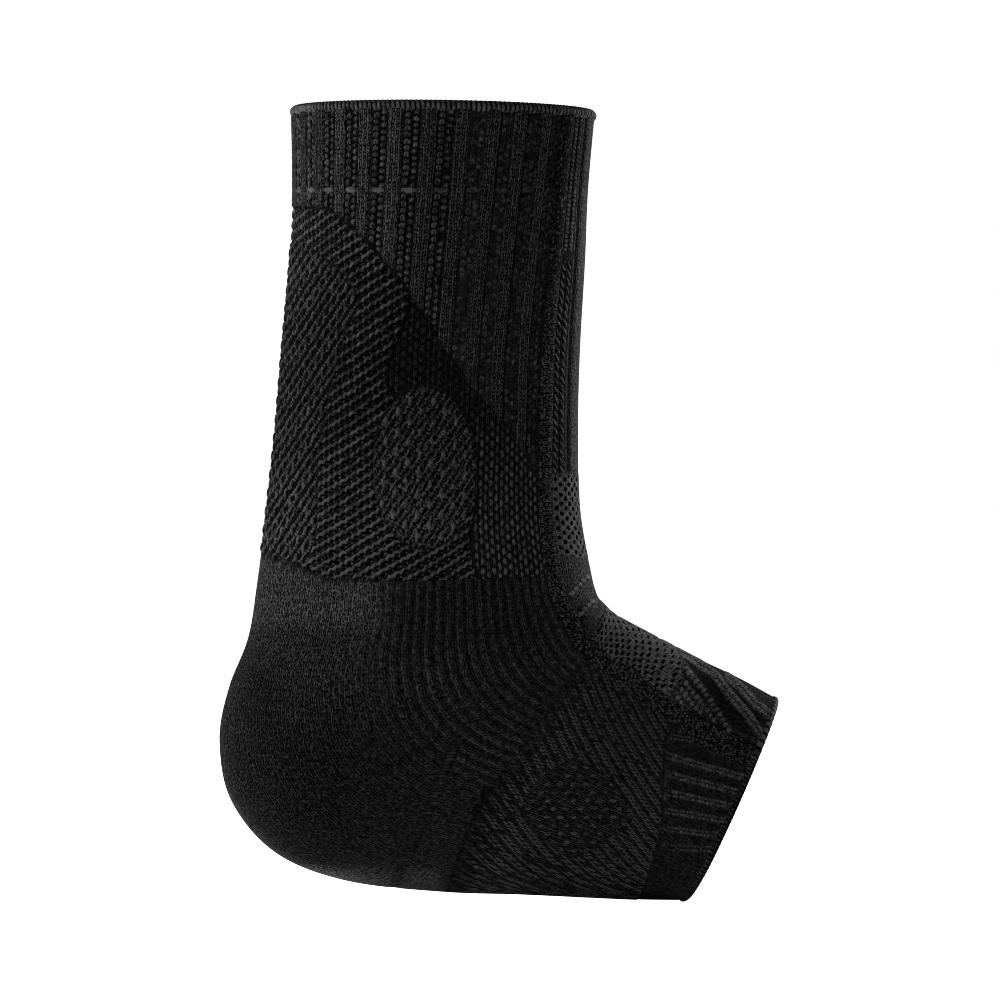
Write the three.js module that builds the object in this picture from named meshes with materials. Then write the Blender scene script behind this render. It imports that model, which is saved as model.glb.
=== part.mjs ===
// Knitted Achilles tendon support: an elastic sleeve for the ankle with a closed heel and an open toe.
// Millimetres. +Z runs up the leg, +X points to the toes and +Y to the wearer's left.
// The origin is the heel seat, the point inside the sole under the axis of the leg.
import * as THREE from "three";

// Walls
const knitWall = 1.8;
const cuffWall = 2.6; // the cuff is folded double
const seamWall = 2.3;

// Ribs, counted round the sleeve: the front panel spans frontRibs of them, the back the rest
const frontRibs = 5;
const backRibs = 25;
const ribCount = frontRibs + backRibs;
const cuffRibHeight = 0.9;
const legRibHeight = 0.7;
const toeRibHeight = 0.9;
const toeRibShare = 1.5; // toe ribs to each rib of the cuff
const seamHalfWidth = 0.28; // in ribs

// Bound edges
const topBead = { halfHeight: 1.5, halfThick: 1.5, inset: 1.2, sides: 7 };
const toeBead = { halfHeight: 1.1, halfThick: 1.2, inset: 0.9, sides: 6 };

// Gaps between pieces that meet, in stations along the sleeve and in ribs around it
const stationGap = 0.035;
const ribGap = 0.045;

// Sections of the sleeve from the leg opening to the toe opening. Each one lies in a plane across the side view:
// frontX, frontZ is its point on the shin or instep, backX, backZ its point on the tendon, heel or sole.
// halfWidth is across the foot, widest shifts the widest point to the back (+) or front (-) as a share of the
// half depth, endRound below 1 squares the back end off, and seam is the share of the girth from the front to a seam.
const sectionColumns = ["at", "frontX", "frontZ", "backX", "backZ", "halfWidth", "widest", "endRound", "seam"];
const sections = [
  ["leg rim", 42.9, 201.0, -35.9, 202.2, 36.0, 0, 1, 0.089],
  ["cuff end", 41.1, 180.3, -35.6, 180.8, 35.2, 0, 1, 0.094],
  ["low calf", 40.3, 161.6, -36.4, 162.4, 34.2, -0.03, 1, 0.102],
  ["mid leg", 39.0, 138.9, -38.5, 138.7, 32.6, -0.08, 1.02, 0.107],
  ["narrow leg", 38.5, 117.9, -40.3, 117.4, 31.4, -0.12, 1.06, 0.108],
  ["above ankle", 39.0, 97.1, -42.6, 96.6, 32.2, -0.14, 1.08, 0.11],
  ["ankle line", 41.9, 80.7, -45.0, 77.6, 34.0, -0.14, 1.02, 0.111],
  ["ankle bones", 43.0, 76.3, -47.3, 63.8, 34.6, -0.12, 0.95, 0.105],
  ["tendon foot", 43.9, 74.2, -52.3, 50.8, 34.4, -0.08, 0.9, 0.092],
  ["heel back", 44.9, 73.2, -54.7, 37.3, 34.0, -0.04, 0.87, 0.083],
  ["heel corner", 45.8, 72.2, -51.7, 21.7, 33.6, 0, 0.86, 0.079],
  ["heel under", 46.8, 71.1, -40.3, 8.2, 33.6, 0.03, 0.86, 0.082],
  ["heel edge", 48.1, 70.1, -22.1, 0.9, 34.0, 0.07, 0.84, 0.092],
  ["heel end", 49.9, 69.0, 2.6, -2.0, 34.8, 0.13, 0.78, 0.106],
  ["arch", 55.9, 65.8, 23.4, -2.7, 36.0, 0.2, 0.72, 0.123],
  ["arch front", 63.2, 62.0, 40.3, -3.4, 37.6, 0.25, 0.68, 0.138],
  ["toe band", 70.2, 58.4, 53.3, -3.9, 39.2, 0.28, 0.66, 0.15],
  ["toe ribs", 80.6, 52.9, 60.8, -4.0, 40.2, 0.28, 0.66, 0.158],
  ["toe rim", 90.7, 46.7, 67.1, -4.0, 41.0, 0.28, 0.66, 0.161],
].map((row) => Object.fromEntries(row.map((value, index) => [sectionColumns[index], value])));
const lastStation = sections.length - 1;
const station = Object.fromEntries(sections.map((row, index) => [row.at, index]));
const heelEnd = station["heel end"];
const shinEnd = station["ankle line"] + 0.6; // where the shin panel turns into the instep panel

// The slanted line on the leg where the ribs stop and the massage knit begins, from the seam round to the back
const ribLine = { lowRib: 3.0, lowStation: 4.7, highRib: 11.3, highStation: 1.15 };

// Smooth curves through the sections' front points, back points and shapes
function curveThrough(pick) {
  return new THREE.CatmullRomCurve3(sections.map(pick), false, "catmullrom", 0.5);
}
const frontCurve = curveThrough((row) => new THREE.Vector3(row.frontX, 0, row.frontZ));
const backCurve = curveThrough((row) => new THREE.Vector3(row.backX, 0, row.backZ));
const widthCurve = curveThrough((row) => new THREE.Vector3(row.halfWidth, row.widest, row.endRound));
const seamCurve = curveThrough((row) => new THREE.Vector3(row.seam, 0, 0));

// One section's outline as points at equal steps of girth, from the front round the wearer's right side
const outlineSteps = 120;
const outlines = new Map();
function outlineAt(along) {
  if (outlines.has(along)) return outlines.get(along);
  const t = along / lastStation;
  const front = frontCurve.getPoint(t);
  const back = backCurve.getPoint(t);
  const { x: halfWidth, y: widest, z: endRound } = widthCurve.getPoint(t);
  const middle = front.clone().lerp(back, 0.5);
  const toFront = front.clone().sub(middle);
  const ring = [];
  for (let i = 0; i < outlineSteps; i++) {
    const angle = (2 * Math.PI * i) / outlineSteps;
    const cos = Math.cos(angle);
    const depth = cos > 0 ? cos : -(Math.abs(cos) ** endRound);
    const forward = depth - widest * (1 - depth * depth);
    ring.push(middle.clone().addScaledVector(toFront, forward).setY(-halfWidth * Math.sin(angle)));
  }
  const outline = new THREE.CatmullRomCurve3(ring, true, "catmullrom", 0.5);
  outline.arcLengthDivisions = outlineSteps * 2;
  outlines.set(along, outline);
  return outline;
}

// Rib numbers run from -frontRibs / 2 through 0 at the front and round the right side to the left seam.
// A rib number becomes a share of the girth by way of the seams, so the ribs follow them.
function girthShare(rib, along) {
  const seam = seamCurve.getPoint(along / lastStation).x;
  const half = frontRibs / 2;
  const number = THREE.MathUtils.euclideanModulo(rib + half, ribCount) - half;
  const share = number <= half ? (number / half) * seam : seam + ((number - half) / backRibs) * (1 - 2 * seam);
  return THREE.MathUtils.euclideanModulo(share, 1);
}
function skin(rib, along) {
  return outlineAt(along).getPointAt(girthShare(rib, along));
}

// A point of the outer skin moved out along its normal by lift, and the direction towards the toe there
const nudge = 0.02;
function spot(rib, along, lift) {
  const ahead = Math.min(along + nudge, lastStation);
  const behind = Math.max(along - nudge, 0);
  const round = skin(rib + nudge, along).sub(skin(rib - nudge, along));
  const down = skin(rib, ahead).sub(skin(rib, behind)).normalize();
  const out = round.cross(down).normalize();
  return { point: skin(rib, along).addScaledVector(out, lift), down };
}

// A triangle list that closes into one body
class Shell {
  constructor() {
    this.corners = [];
  }
  triangle(a, b, c) {
    for (const p of [a, b, c]) this.corners.push(p.x, p.y, p.z);
  }
  quads(rows, facing) {
    for (let j = 0; j + 1 < rows.length; j++) {
      for (let i = 0; i + 1 < rows[j].length; i++) {
        const [a, b, c, d] = [rows[j][i], rows[j][i + 1], rows[j + 1][i + 1], rows[j + 1][i]];
        this.triangle(a, ...(facing > 0 ? [b, c] : [c, b]));
        this.triangle(a, ...(facing > 0 ? [c, d] : [d, c]));
      }
    }
  }
  // Closes the edge between an outer and an inner line that may have different numbers of points
  edge(outer, inner) {
    let i = 0;
    let j = 0;
    while (i + 1 < outer.length || j + 1 < inner.length) {
      if ((i + 1) * (inner.length - 1) <= (j + 1) * (outer.length - 1)) {
        this.triangle(outer[i + 1], outer[i], inner[j]);
        i++;
      } else {
        this.triangle(outer[i], inner[j], inner[j + 1]);
        j++;
      }
    }
  }
  geometry() {
    const made = new THREE.BufferGeometry();
    made.setAttribute("position", new THREE.Float32BufferAttribute(this.corners, 3));
    made.computeVertexNormals();
    return made;
  }
}

function steps(from, to, count) {
  return Array.from({ length: count + 1 }, (_, i) => from + ((to - from) * i) / count);
}
// Points of the skin at given ribs, between two lines given as stations or as functions of the rib number
function grid(ribs, [from, to], rows, lift) {
  const lineAt = (line, rib) => (typeof line === "function" ? line(rib) : line);
  return steps(0, 1, rows).map((share) =>
    ribs.map((rib) => {
      const along = THREE.MathUtils.lerp(lineAt(from, rib), lineAt(to, rib), share);
      return spot(rib, along, lift(rib, along)).point;
    }),
  );
}
// The line that runs at a constant distance from the toe opening
function fromToe(distance) {
  return (rib) => lastStation - (0.5 * distance) / skin(rib, lastStation).distanceTo(skin(rib, lastStation - 0.5));
}
const column = (rows, index) => rows.map((row) => row.at(index));

// A piece of knit wall between two rib numbers and two stations, with its relief on the outside
function panel({ ribs, innerSteps, alongs, rows, wall, relief }) {
  const outside = grid(ribs, alongs, rows, relief);
  const inside = grid(steps(ribs[0], ribs.at(-1), innerSteps), alongs, rows, () => -wall);
  const shell = new Shell();
  shell.quads(outside, 1);
  shell.quads(inside, -1);
  shell.edge(outside[0], inside[0]);
  shell.edge(column(outside, -1), column(inside, -1));
  shell.edge(outside.at(-1).toReversed(), inside.at(-1).toReversed());
  shell.edge(column(outside, 0).toReversed(), column(inside, 0).toReversed());
  return shell.geometry();
}

// A closed ring of knit wall
function hoop({ ribs, innerSteps, alongs, rows, wall, relief }) {
  const outside = grid(ribs, alongs, rows, relief);
  const inside = grid(steps(ribs[0], ribs.at(-1), innerSteps), alongs, rows, () => -wall);
  const shell = new Shell();
  shell.quads(outside, 1);
  shell.quads(inside, -1);
  shell.edge(outside[0], inside[0]);
  shell.edge(outside.at(-1).toReversed(), inside.at(-1).toReversed());
  return shell.geometry();
}

// A rolled bead round an opening, an oval section carried round the skin
const beadSteps = 60;
function boundEdge(line, { halfHeight, halfThick, inset, sides }) {
  const around = steps(-frontRibs / 2, ribCount - frontRibs / 2, beadSteps);
  const rows = steps(0, 2 * Math.PI, sides).map((turn) =>
    around.map((rib) => {
      const { point, down } = spot(rib, line(rib), halfThick * Math.cos(turn) - inset);
      return point.addScaledVector(down, halfHeight * Math.sin(turn));
    }),
  );
  const shell = new Shell();
  shell.quads(rows, 1);
  return shell.geometry();
}

// Raised flat ribs about the whole numbers with grooves between, from half a height below the skin to half above
function ribWave(rib) {
  const fromMiddle = Math.abs(rib - Math.round(rib));
  return THREE.MathUtils.clamp(1.5 - 4 * fromMiddle, 0, 1) - 0.5;
}
// The rib numbers where the wave turns, between two ends
function ribTurns(from, to, perRib) {
  const first = Math.ceil(from * perRib - 0.5 + 0.3);
  const last = Math.floor(to * perRib - 0.5 - 0.3);
  return [from, ...steps(first, last, last - first).map((k) => (k + 0.5) / perRib), to];
}
function legRelief(rib, along) {
  const fromFront = Math.min(Math.abs(rib), ribCount - rib);
  const share = (fromFront - ribLine.lowRib) / (ribLine.highRib - ribLine.lowRib);
  const end = THREE.MathUtils.lerp(ribLine.lowStation, ribLine.highStation, THREE.MathUtils.clamp(share, 0, 1));
  return along < end ? legRibHeight * ribWave(rib) : 0;
}
const plain = () => 0;

// Yarn colours: black elastic knit, with the open mesh and the bound edges a shade lighter
function yarn(colour, roughness) {
  return new THREE.MeshStandardMaterial({ color: colour, roughness, metalness: 0 });
}
const blackKnit = yarn(0x181818, 0.85);
const reliefKnit = yarn(0x1e1e1e, 0.8);
const greyKnit = yarn(0x343434, 0.85);
const edgeYarn = yarn(0x262626, 0.75);

const support = new THREE.Group();
function add(name, geometry, material) {
  const mesh = new THREE.Mesh(geometry, material);
  mesh.name = name;
  support.add(mesh);
}

const cuffStart = 0.17;
const toeBandEnd = fromToe(2 * toeBead.halfHeight + 0.35);
const topLine = () => 0.075;
const toeLine = fromToe(toeBead.halfHeight);
const seamRib = frontRibs / 2;
const backEdge = seamRib + seamHalfWidth;
const frontEdge = seamRib - seamHalfWidth - ribGap;
const backSpan = [backEdge + ribGap, ribCount - backEdge - ribGap];
const frontSpan = [-frontEdge, frontEdge];

const cuffTurns = 4;
const toeTurns = 4 * toeRibShare;

add("top_binding", boundEdge(topLine, topBead), edgeYarn);
add(
  "ribbed_cuff",
  hoop({
    ribs: steps(0.5 / cuffTurns, ribCount + 0.5 / cuffTurns, ribCount * cuffTurns),
    innerSteps: 60,
    alongs: [cuffStart, station["cuff end"] - stationGap],
    rows: 2,
    wall: cuffWall,
    relief: (rib) => cuffRibHeight * ribWave(rib),
  }),
  blackKnit,
);
add(
  "leg_sleeve",
  panel({
    ribs: ribTurns(...backSpan, cuffTurns),
    innerSteps: 30,
    alongs: [station["cuff end"], station["ankle line"] - stationGap],
    rows: 9,
    wall: knitWall,
    relief: legRelief,
  }),
  reliefKnit,
);
add(
  "heel_cup",
  panel({
    ribs: steps(...backSpan, 36),
    innerSteps: 30,
    alongs: [station["ankle line"], heelEnd - stationGap],
    rows: 13,
    wall: knitWall,
    relief: plain,
  }),
  blackKnit,
);
add(
  "foot_sleeve",
  panel({
    ribs: steps(...backSpan, 36),
    innerSteps: 30,
    alongs: [heelEnd, station["toe band"] - stationGap],
    rows: 6,
    wall: knitWall,
    relief: plain,
  }),
  reliefKnit,
);
add(
  "shin_panel",
  panel({
    ribs: ribTurns(...frontSpan, cuffTurns),
    innerSteps: 8,
    alongs: [station["cuff end"], shinEnd - stationGap],
    rows: 11,
    wall: knitWall,
    relief: legRelief,
  }),
  greyKnit,
);
add(
  "instep_panel",
  panel({
    ribs: steps(...frontSpan, 10),
    innerSteps: 8,
    alongs: [shinEnd, station["toe band"] - stationGap],
    rows: 14,
    wall: knitWall,
    relief: plain,
  }),
  greyKnit,
);
for (const [name, middle] of [["seam_right", seamRib], ["seam_left", ribCount - seamRib]]) {
  add(
    name,
    panel({
      ribs: steps(middle - seamHalfWidth, middle + seamHalfWidth, 2),
      innerSteps: 1,
      alongs: [station["cuff end"], station["toe band"] - stationGap],
      rows: 30,
      wall: knitWall,
      relief: (rib) => (rib === middle ? seamWall - knitWall : 0),
    }),
    edgeYarn,
  );
}
add(
  "toe_band",
  hoop({
    ribs: steps(0.5 / toeTurns, ribCount + 0.5 / toeTurns, ribCount * toeTurns),
    innerSteps: 60,
    alongs: [station["toe band"], toeBandEnd],
    rows: 2,
    wall: knitWall,
    relief: (rib) => toeRibHeight * ribWave(rib * toeRibShare),
  }),
  blackKnit,
);
add("toe_binding", boundEdge(toeLine, toeBead), edgeYarn);

export default support;
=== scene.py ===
# Knitted Achilles tendon support, shown filled out as on a foot, on a pale studio floor
import math
import bpy
import numpy as np
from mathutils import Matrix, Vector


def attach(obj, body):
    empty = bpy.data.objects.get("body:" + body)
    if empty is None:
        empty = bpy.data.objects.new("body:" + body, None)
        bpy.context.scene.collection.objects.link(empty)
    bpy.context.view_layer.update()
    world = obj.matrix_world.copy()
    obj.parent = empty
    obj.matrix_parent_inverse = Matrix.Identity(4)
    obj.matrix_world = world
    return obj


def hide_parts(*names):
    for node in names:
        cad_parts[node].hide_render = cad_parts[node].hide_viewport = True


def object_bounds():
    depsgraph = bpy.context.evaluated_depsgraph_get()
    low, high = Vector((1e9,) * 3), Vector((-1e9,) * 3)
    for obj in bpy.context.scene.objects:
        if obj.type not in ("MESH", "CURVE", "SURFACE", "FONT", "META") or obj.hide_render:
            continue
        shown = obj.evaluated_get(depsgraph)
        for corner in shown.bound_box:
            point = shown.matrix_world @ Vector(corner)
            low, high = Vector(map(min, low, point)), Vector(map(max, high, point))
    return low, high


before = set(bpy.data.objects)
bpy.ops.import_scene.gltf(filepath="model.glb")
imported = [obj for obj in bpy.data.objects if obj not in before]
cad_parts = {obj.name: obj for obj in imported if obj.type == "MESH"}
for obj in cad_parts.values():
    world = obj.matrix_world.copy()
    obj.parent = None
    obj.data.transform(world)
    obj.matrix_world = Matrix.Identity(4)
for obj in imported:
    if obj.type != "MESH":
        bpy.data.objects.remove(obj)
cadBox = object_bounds()
mm = 0.001


def toLinear(hexColour):
    # sRGB hex to linear RGBA
    parts = [int(hexColour[i:i + 2], 16) / 255 for i in (1, 3, 5)]
    return [p / 12.92 if p <= 0.04045 else ((p + 0.055) / 1.055) ** 2.4 for p in parts] + [1.0]


def addNode(tree, kind, settings, *values, **named):
    # one node: its settings or its operation, then inputs in order or by name, each a value or what feeds it
    node = tree.nodes.new(kind)
    if isinstance(settings, str):
        settings = {"operation": settings}
    for key, value in settings.items():
        setattr(node, key, value)
    for key, value in [*enumerate(values), *named.items()]:
        if isinstance(value, bpy.types.Node):
            value = value.outputs[0]
        if isinstance(value, bpy.types.NodeSocket):
            tree.links.new(value, node.inputs[key])
        elif value is not None:
            node.inputs[key].default_value = value
    return node


# studio: level camera square on to the side, long lens
viewFrom = dict(x=18.2, z=99.7, distance=1550, lens=214.6, sensor=36, farthest=20000)  # millimetres
pixelBlur = 0.9  # width of the pixel filter
bpy.ops.object.select_all(action="DESELECT")
bpy.ops.object.camera_add(
    location=(viewFrom["x"] * mm, -viewFrom["distance"] * mm, viewFrom["z"] * mm),
    rotation=(math.pi / 2, 0, 0))
camera = bpy.context.object
camera.data.lens = viewFrom["lens"]
camera.data.sensor_width = viewFrom["sensor"]
camera.data.clip_end = viewFrom["farthest"] * mm
bpy.context.scene.camera = camera
bpy.context.scene.view_settings.view_transform = "Standard"
bpy.context.scene.cycles.filter_width = pixelBlur

# floor: sizes in metres; seen by the camera as white, lighting the knit mostly from behind
floorSet = dict(size=8.0, drop=0.0004, colour="#ffffff", roughness=0.9, seen=1.0, light=(0.02, 1.35),
                depth=(-0.08, 0.36), sides=(-0.06, 0.06), shift=(0.05, -0.07))
bpy.ops.mesh.primitive_plane_add(size=floorSet["size"], location=(0, 0, cadBox[0].z - floorSet["drop"]))
floor = bpy.context.object
floor.name = "studio_floor"
floorPaint = bpy.data.materials.new("white_studio_floor")
floorPaint.use_nodes = True
floorTree = floorPaint.node_tree
floorShader = floorTree.nodes["Principled BSDF"]
floorShader.inputs["Base Color"].default_value = toLinear(floorSet["colour"])
floorShader.inputs["Roughness"].default_value = floorSet["roughness"]
floorShader.inputs["Emission Color"].default_value = toLinear(floorSet["colour"])
floorPath = addNode(floorTree, "ShaderNodeLightPath", {})
floorPlace = addNode(floorTree, "ShaderNodeTexCoord", {}).outputs["Object"]
floorParts = addNode(floorTree, "ShaderNodeSeparateXYZ", {}, floorPlace).outputs
# the floor lights the knit from behind more than from the front, and more below the heel than below the toe
floorShift = addNode(floorTree, "ShaderNodeMapRange", {}, floorParts["X"], *floorSet["sides"],
                     *floorSet["shift"])
floorDepth = addNode(floorTree, "ShaderNodeMath", "ADD", floorParts["Y"], floorShift)
floorLight = addNode(floorTree, "ShaderNodeMapRange", {}, floorDepth, *floorSet["depth"], *floorSet["light"])
floorGlow = addNode(floorTree, "ShaderNodeMix", {"data_type": "FLOAT"}, floorPath.outputs["Is Camera Ray"],
                    None, floorLight, floorSet["seen"])
floorTree.links.new(floorGlow.outputs[0], floorShader.inputs["Emission Strength"])
floor.data.materials.append(floorPaint)

# white backdrop seen by the camera, with a dimmer room for the light that reaches the knit
roomSet = dict(colour="#ffffff", seen=1.0, fill=0.05)
world = bpy.data.worlds.new("white_room")
bpy.context.scene.world = world
world.use_nodes = True
roomTree = world.node_tree
roomTree.nodes.clear()
lightPath = addNode(roomTree, "ShaderNodeLightPath", {})
strength = addNode(roomTree, "ShaderNodeMix", {"data_type": "FLOAT"}, lightPath.outputs["Is Camera Ray"],
                   None, roomSet["fill"], roomSet["seen"])
backdrop = addNode(roomTree, "ShaderNodeBackground", {}, toLinear(roomSet["colour"]), strength)
addNode(roomTree, "ShaderNodeOutputWorld", {}, backdrop)

# key from the left and a little behind, rim from behind on the right, weak fill from the front
# places, sizes and aims in metres, power in watts
lights = [
    dict(name="left_softbox", place=(-1.0, 0.1, 0.42), size=0.35, power=6.1, aim=(0, 0, 0.1)),
    dict(name="right_softbox", place=(0.62, 0.8, 0.4), size=0.35, power=5.0, aim=(0.02, 0, 0.1)),
    dict(name="front_softbox", place=(-0.4, -1.0, 0.95), size=0.3, power=4.1, aim=(0.02, 0, 0.09)),
]
for light in lights:
    bpy.ops.object.light_add(type="AREA", location=light["place"])
    lamp = bpy.context.object
    lamp.name = light["name"]
    lamp.data.size = light["size"]
    lamp.data.energy = light["power"]
    toAim = np.array(light["aim"]) - np.array(light["place"])
    lamp.rotation_euler = (
        math.acos(-toAim[2] / np.linalg.norm(toAim)), 0, math.atan2(toAim[1], toAim[0]) - math.pi / 2)
print("studio set")

# form of the sleeve: sections from the leg opening to the toe opening, in millimetres
# front point x z, back point x z, half width, shift of the widest point, roundness of the back end, and the
# seam's place as a share of the girth
sleeve = dict(
    rows=[
        (42.9, 201.0, -35.9, 202.2, 36.0, 0, 1, 0.089),
        (41.1, 180.3, -35.6, 180.8, 35.2, 0, 1, 0.094),
        (40.3, 161.6, -36.4, 162.4, 34.2, -0.03, 1, 0.102),
        (39.0, 138.9, -38.5, 138.7, 32.6, -0.08, 1.02, 0.107),
        (38.5, 117.9, -40.3, 117.4, 31.4, -0.12, 1.06, 0.108),
        (39.0, 97.1, -42.6, 96.6, 32.2, -0.14, 1.08, 0.11),
        (41.9, 80.7, -45.0, 77.6, 34.0, -0.14, 1.02, 0.111),
        (43.0, 76.3, -47.3, 63.8, 34.6, -0.12, 0.95, 0.105),
        (43.9, 74.2, -52.3, 50.8, 34.4, -0.08, 0.9, 0.092),
        (44.9, 73.2, -54.7, 37.3, 34.0, -0.04, 0.87, 0.083),
        (45.8, 72.2, -51.7, 21.7, 33.6, 0, 0.86, 0.079),
        (46.8, 71.1, -40.3, 8.2, 33.6, 0.03, 0.86, 0.082),
        (48.1, 70.1, -22.1, 0.9, 34.0, 0.07, 0.84, 0.092),
        (49.9, 69.0, 2.6, -2.0, 34.8, 0.13, 0.78, 0.106),
        (55.9, 65.8, 23.4, -2.7, 36.0, 0.2, 0.72, 0.123),
        (63.2, 62.0, 40.3, -3.4, 37.6, 0.25, 0.68, 0.138),
        (70.2, 58.4, 53.3, -3.9, 39.2, 0.28, 0.66, 0.15),
        (80.7, 53.4, 60.5, -4.0, 40.2, 0.28, 0.66, 0.158),
        (90.9, 47.8, 66.4, -4.0, 41.0, 0.28, 0.66, 0.161),
    ],
    seamColumn=7, frontRibs=5, backRibs=25, crowd=dict(ribs=(5.5, 10.5), shift=0.4),
    perStation=48, aroundSteps=1024, ringSteps=2048,
)
ribCount = sleeve["frontRibs"] + sleeve["backRibs"]
seamRib = sleeve["frontRibs"] / 2
ribPitch = 8.1  # millimetres from rib to rib on the leg
sections = np.array(sleeve["rows"], float)
lastStation = len(sections) - 1


def sectionAt(along):
    # smooth run of every column through the sections
    padded = np.vstack([2 * sections[0] - sections[1], sections, 2 * sections[-1] - sections[-2]])
    first = np.clip(np.floor(along).astype(int), 0, lastStation - 1)
    t = (along - first)[:, None]
    p0, p1, p2, p3 = (padded[first + k] for k in range(4))
    curve = (2 * p0 - 5 * p1 + 4 * p2 - p3) * t ** 2 + (3 * (p1 - p2) + p3 - p0) * t ** 3
    return 0.5 * (2 * p1 + (p2 - p0) * t + curve)


def sleeveTables():
    # points, outward normals and lengths of the skin at even steps along the sleeve and round its girth
    alongs = np.linspace(0, lastStation, lastStation * sleeve["perStation"] + 1)
    shares = np.linspace(0, 1, sleeve["aroundSteps"] + 1)
    angle = np.linspace(0, 2 * np.pi, sleeve["ringSteps"] + 1)
    cos = np.cos(angle)
    points = np.empty((len(alongs), len(shares), 3))
    for row, (fx, fz, bx, bz, half, widest, endRound, _) in zip(points, sectionAt(alongs)):
        depth = np.where(cos > 0, cos, -np.abs(cos) ** endRound)
        forward = depth - widest * (1 - depth ** 2)
        ring = np.column_stack([
            (fx + bx) / 2 + (fx - bx) / 2 * forward,
            -half * np.sin(angle),
            (fz + bz) / 2 + (fz - bz) / 2 * forward])
        run = np.concatenate([[0], np.cumsum(np.linalg.norm(np.diff(ring, axis=0), axis=1))])
        for axis in range(3):
            row[:, axis] = np.interp(shares * run[-1], run, ring[:, axis])
    wrapped = np.concatenate([points[:, -2:-1], points, points[:, 1:2]], axis=1)
    around = wrapped[:, 2:] - wrapped[:, :-2]
    down = np.gradient(points, axis=0)
    normals = np.cross(around, down)
    normals /= np.linalg.norm(normals, axis=2, keepdims=True)
    steps = np.linalg.norm(np.diff(points, axis=0, prepend=points[:1]), axis=2)
    return points, normals, np.cumsum(steps, axis=0)[..., None]


skinPoints, skinNormals, skinLengths = sleeveTables()


def readTable(table, share, along):
    # value between the four nearest entries
    justInside = 0.0001
    row = np.clip(along * sleeve["perStation"], 0, len(table) - 1 - justInside)
    column = np.clip(share, 0, 1) * sleeve["aroundSteps"]
    r = row.astype(int)
    c = np.clip(column.astype(int), 0, sleeve["aroundSteps"] - 1)
    fr = (row - r)[:, None]
    fc = (column - c)[:, None]
    upper = table[r, c] * (1 - fc) + table[r, c + 1] * fc
    lower = table[r + 1, c] * (1 - fc) + table[r + 1, c + 1] * fc
    return upper * (1 - fr) + lower * fr


def girthShare(rib, along):
    # rib numbers run from 0 at the front round the right side; the ribs follow the seams
    seam = sectionAt(along)[:, sleeve["seamColumn"]]
    number = (rib + seamRib) % ribCount - seamRib
    share = np.where(number <= seamRib, number / seamRib * seam,
                     seam + (number - seamRib) / sleeve["backRibs"] * (1 - 2 * seam))
    return share % 1


class Spots:
    # where each point of a piece lies: on the skin, in ribs, in millimetres along, and in the side view
    def __init__(self, rib, along):
        share = girthShare(rib, along)
        self.points = readTable(skinPoints, share, along)
        self.normals = readTable(skinNormals, share, along)
        self.normals /= np.linalg.norm(self.normals, axis=1, keepdims=True)
        self.run = readTable(skinLengths, share, along)[:, 0]
        # ribs counted from the front, the same on both sides; near the seams they crowd a little forward
        self.fold = np.abs((rib + ribCount / 2) % ribCount - ribCount / 2)
        crowd = sleeve["crowd"]
        self.ribPlace = self.fold + crowd["shift"] * (1 - ease(*crowd["ribs"], self.fold))
        self.across, self.up = -ribPitch * self.ribPlace, -self.run
        nearer = viewFrom["distance"] / (viewFrom["distance"] - np.abs(self.points[:, 1]))
        self.x = viewFrom["x"] + (self.points[:, 0] - viewFrom["x"]) * nearer
        self.z = viewFrom["z"] + (self.points[:, 2] - viewFrom["z"]) * nearer


# shapes of single stitches, and values that change over a distance
def ease(low, high, value):
    t = np.clip((value - low) / (high - low), 0, 1)
    return t * t * (3 - 2 * t)


def change(ends, share):
    return ends[0] + (ends[1] - ends[0]) * share


def nearest(value, pitch):
    return value - np.round(value / pitch) * pitch


def bead(across, along, halfWide, halfTall):
    return np.sqrt(np.clip(1 - (across / halfWide) ** 2 - (along / halfTall) ** 2, 0, None))


# a pattern: height and rise of its raised stitches in mm, tone, shares of fine stitches, slanted ground and
# stray strands, tone of the raised stitches, then their kind (0 bead, 1 slanted row), size, share left out,
# form (1 open below, -1 thin) and place counted in stitches
patternParts = ("height", "rise", "tone", "fine", "ground", "stray", "lift", "lean", "size", "sparse",
                "split", "u", "v")
partRow = {part: row for row, part in enumerate(patternParts)}
shadeParts = patternParts[partRow["tone"]:partRow["u"]]
plainParts = dict(height=0, rise=0, tone=0.3, fine=0, ground=0, stray=0.25, lift=0, lean=0, size=1, sparse=0,
                  split=0, u=0, v=0)
# raised stitches, in shares of the space that each has
raisedSet = dict(beadWide=0.42, beadTall=0.47, thin=0.5, sway=0.55, rowShift=0.45, zigzag=0.42, rowHalf=0.21,
                 ridgeHalf=0.34, stroke=0.25, fade=1.5)


def pattern(spots, **given):
    parts = {**plainParts, **given}
    return np.array([np.broadcast_to(parts[key], spots.run.shape) for key in patternParts], float)


def blend(first, second, share):
    # two patterns mixed by a share from 0 to 1; the raised stitches fade out where one kind meets the other
    mixed = first + (second - first) * share
    kinds = partRow["lean"]
    fade = np.clip(1 - raisedSet["fade"] * (1 - np.abs(2 * share - 1)), 0, 1)
    mixed[kinds:] = np.where(share > 0.5, second[kinds:], first[kinds:])
    mixed[[partRow["rise"], partRow["lift"]]] *= fade
    return mixed


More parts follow.
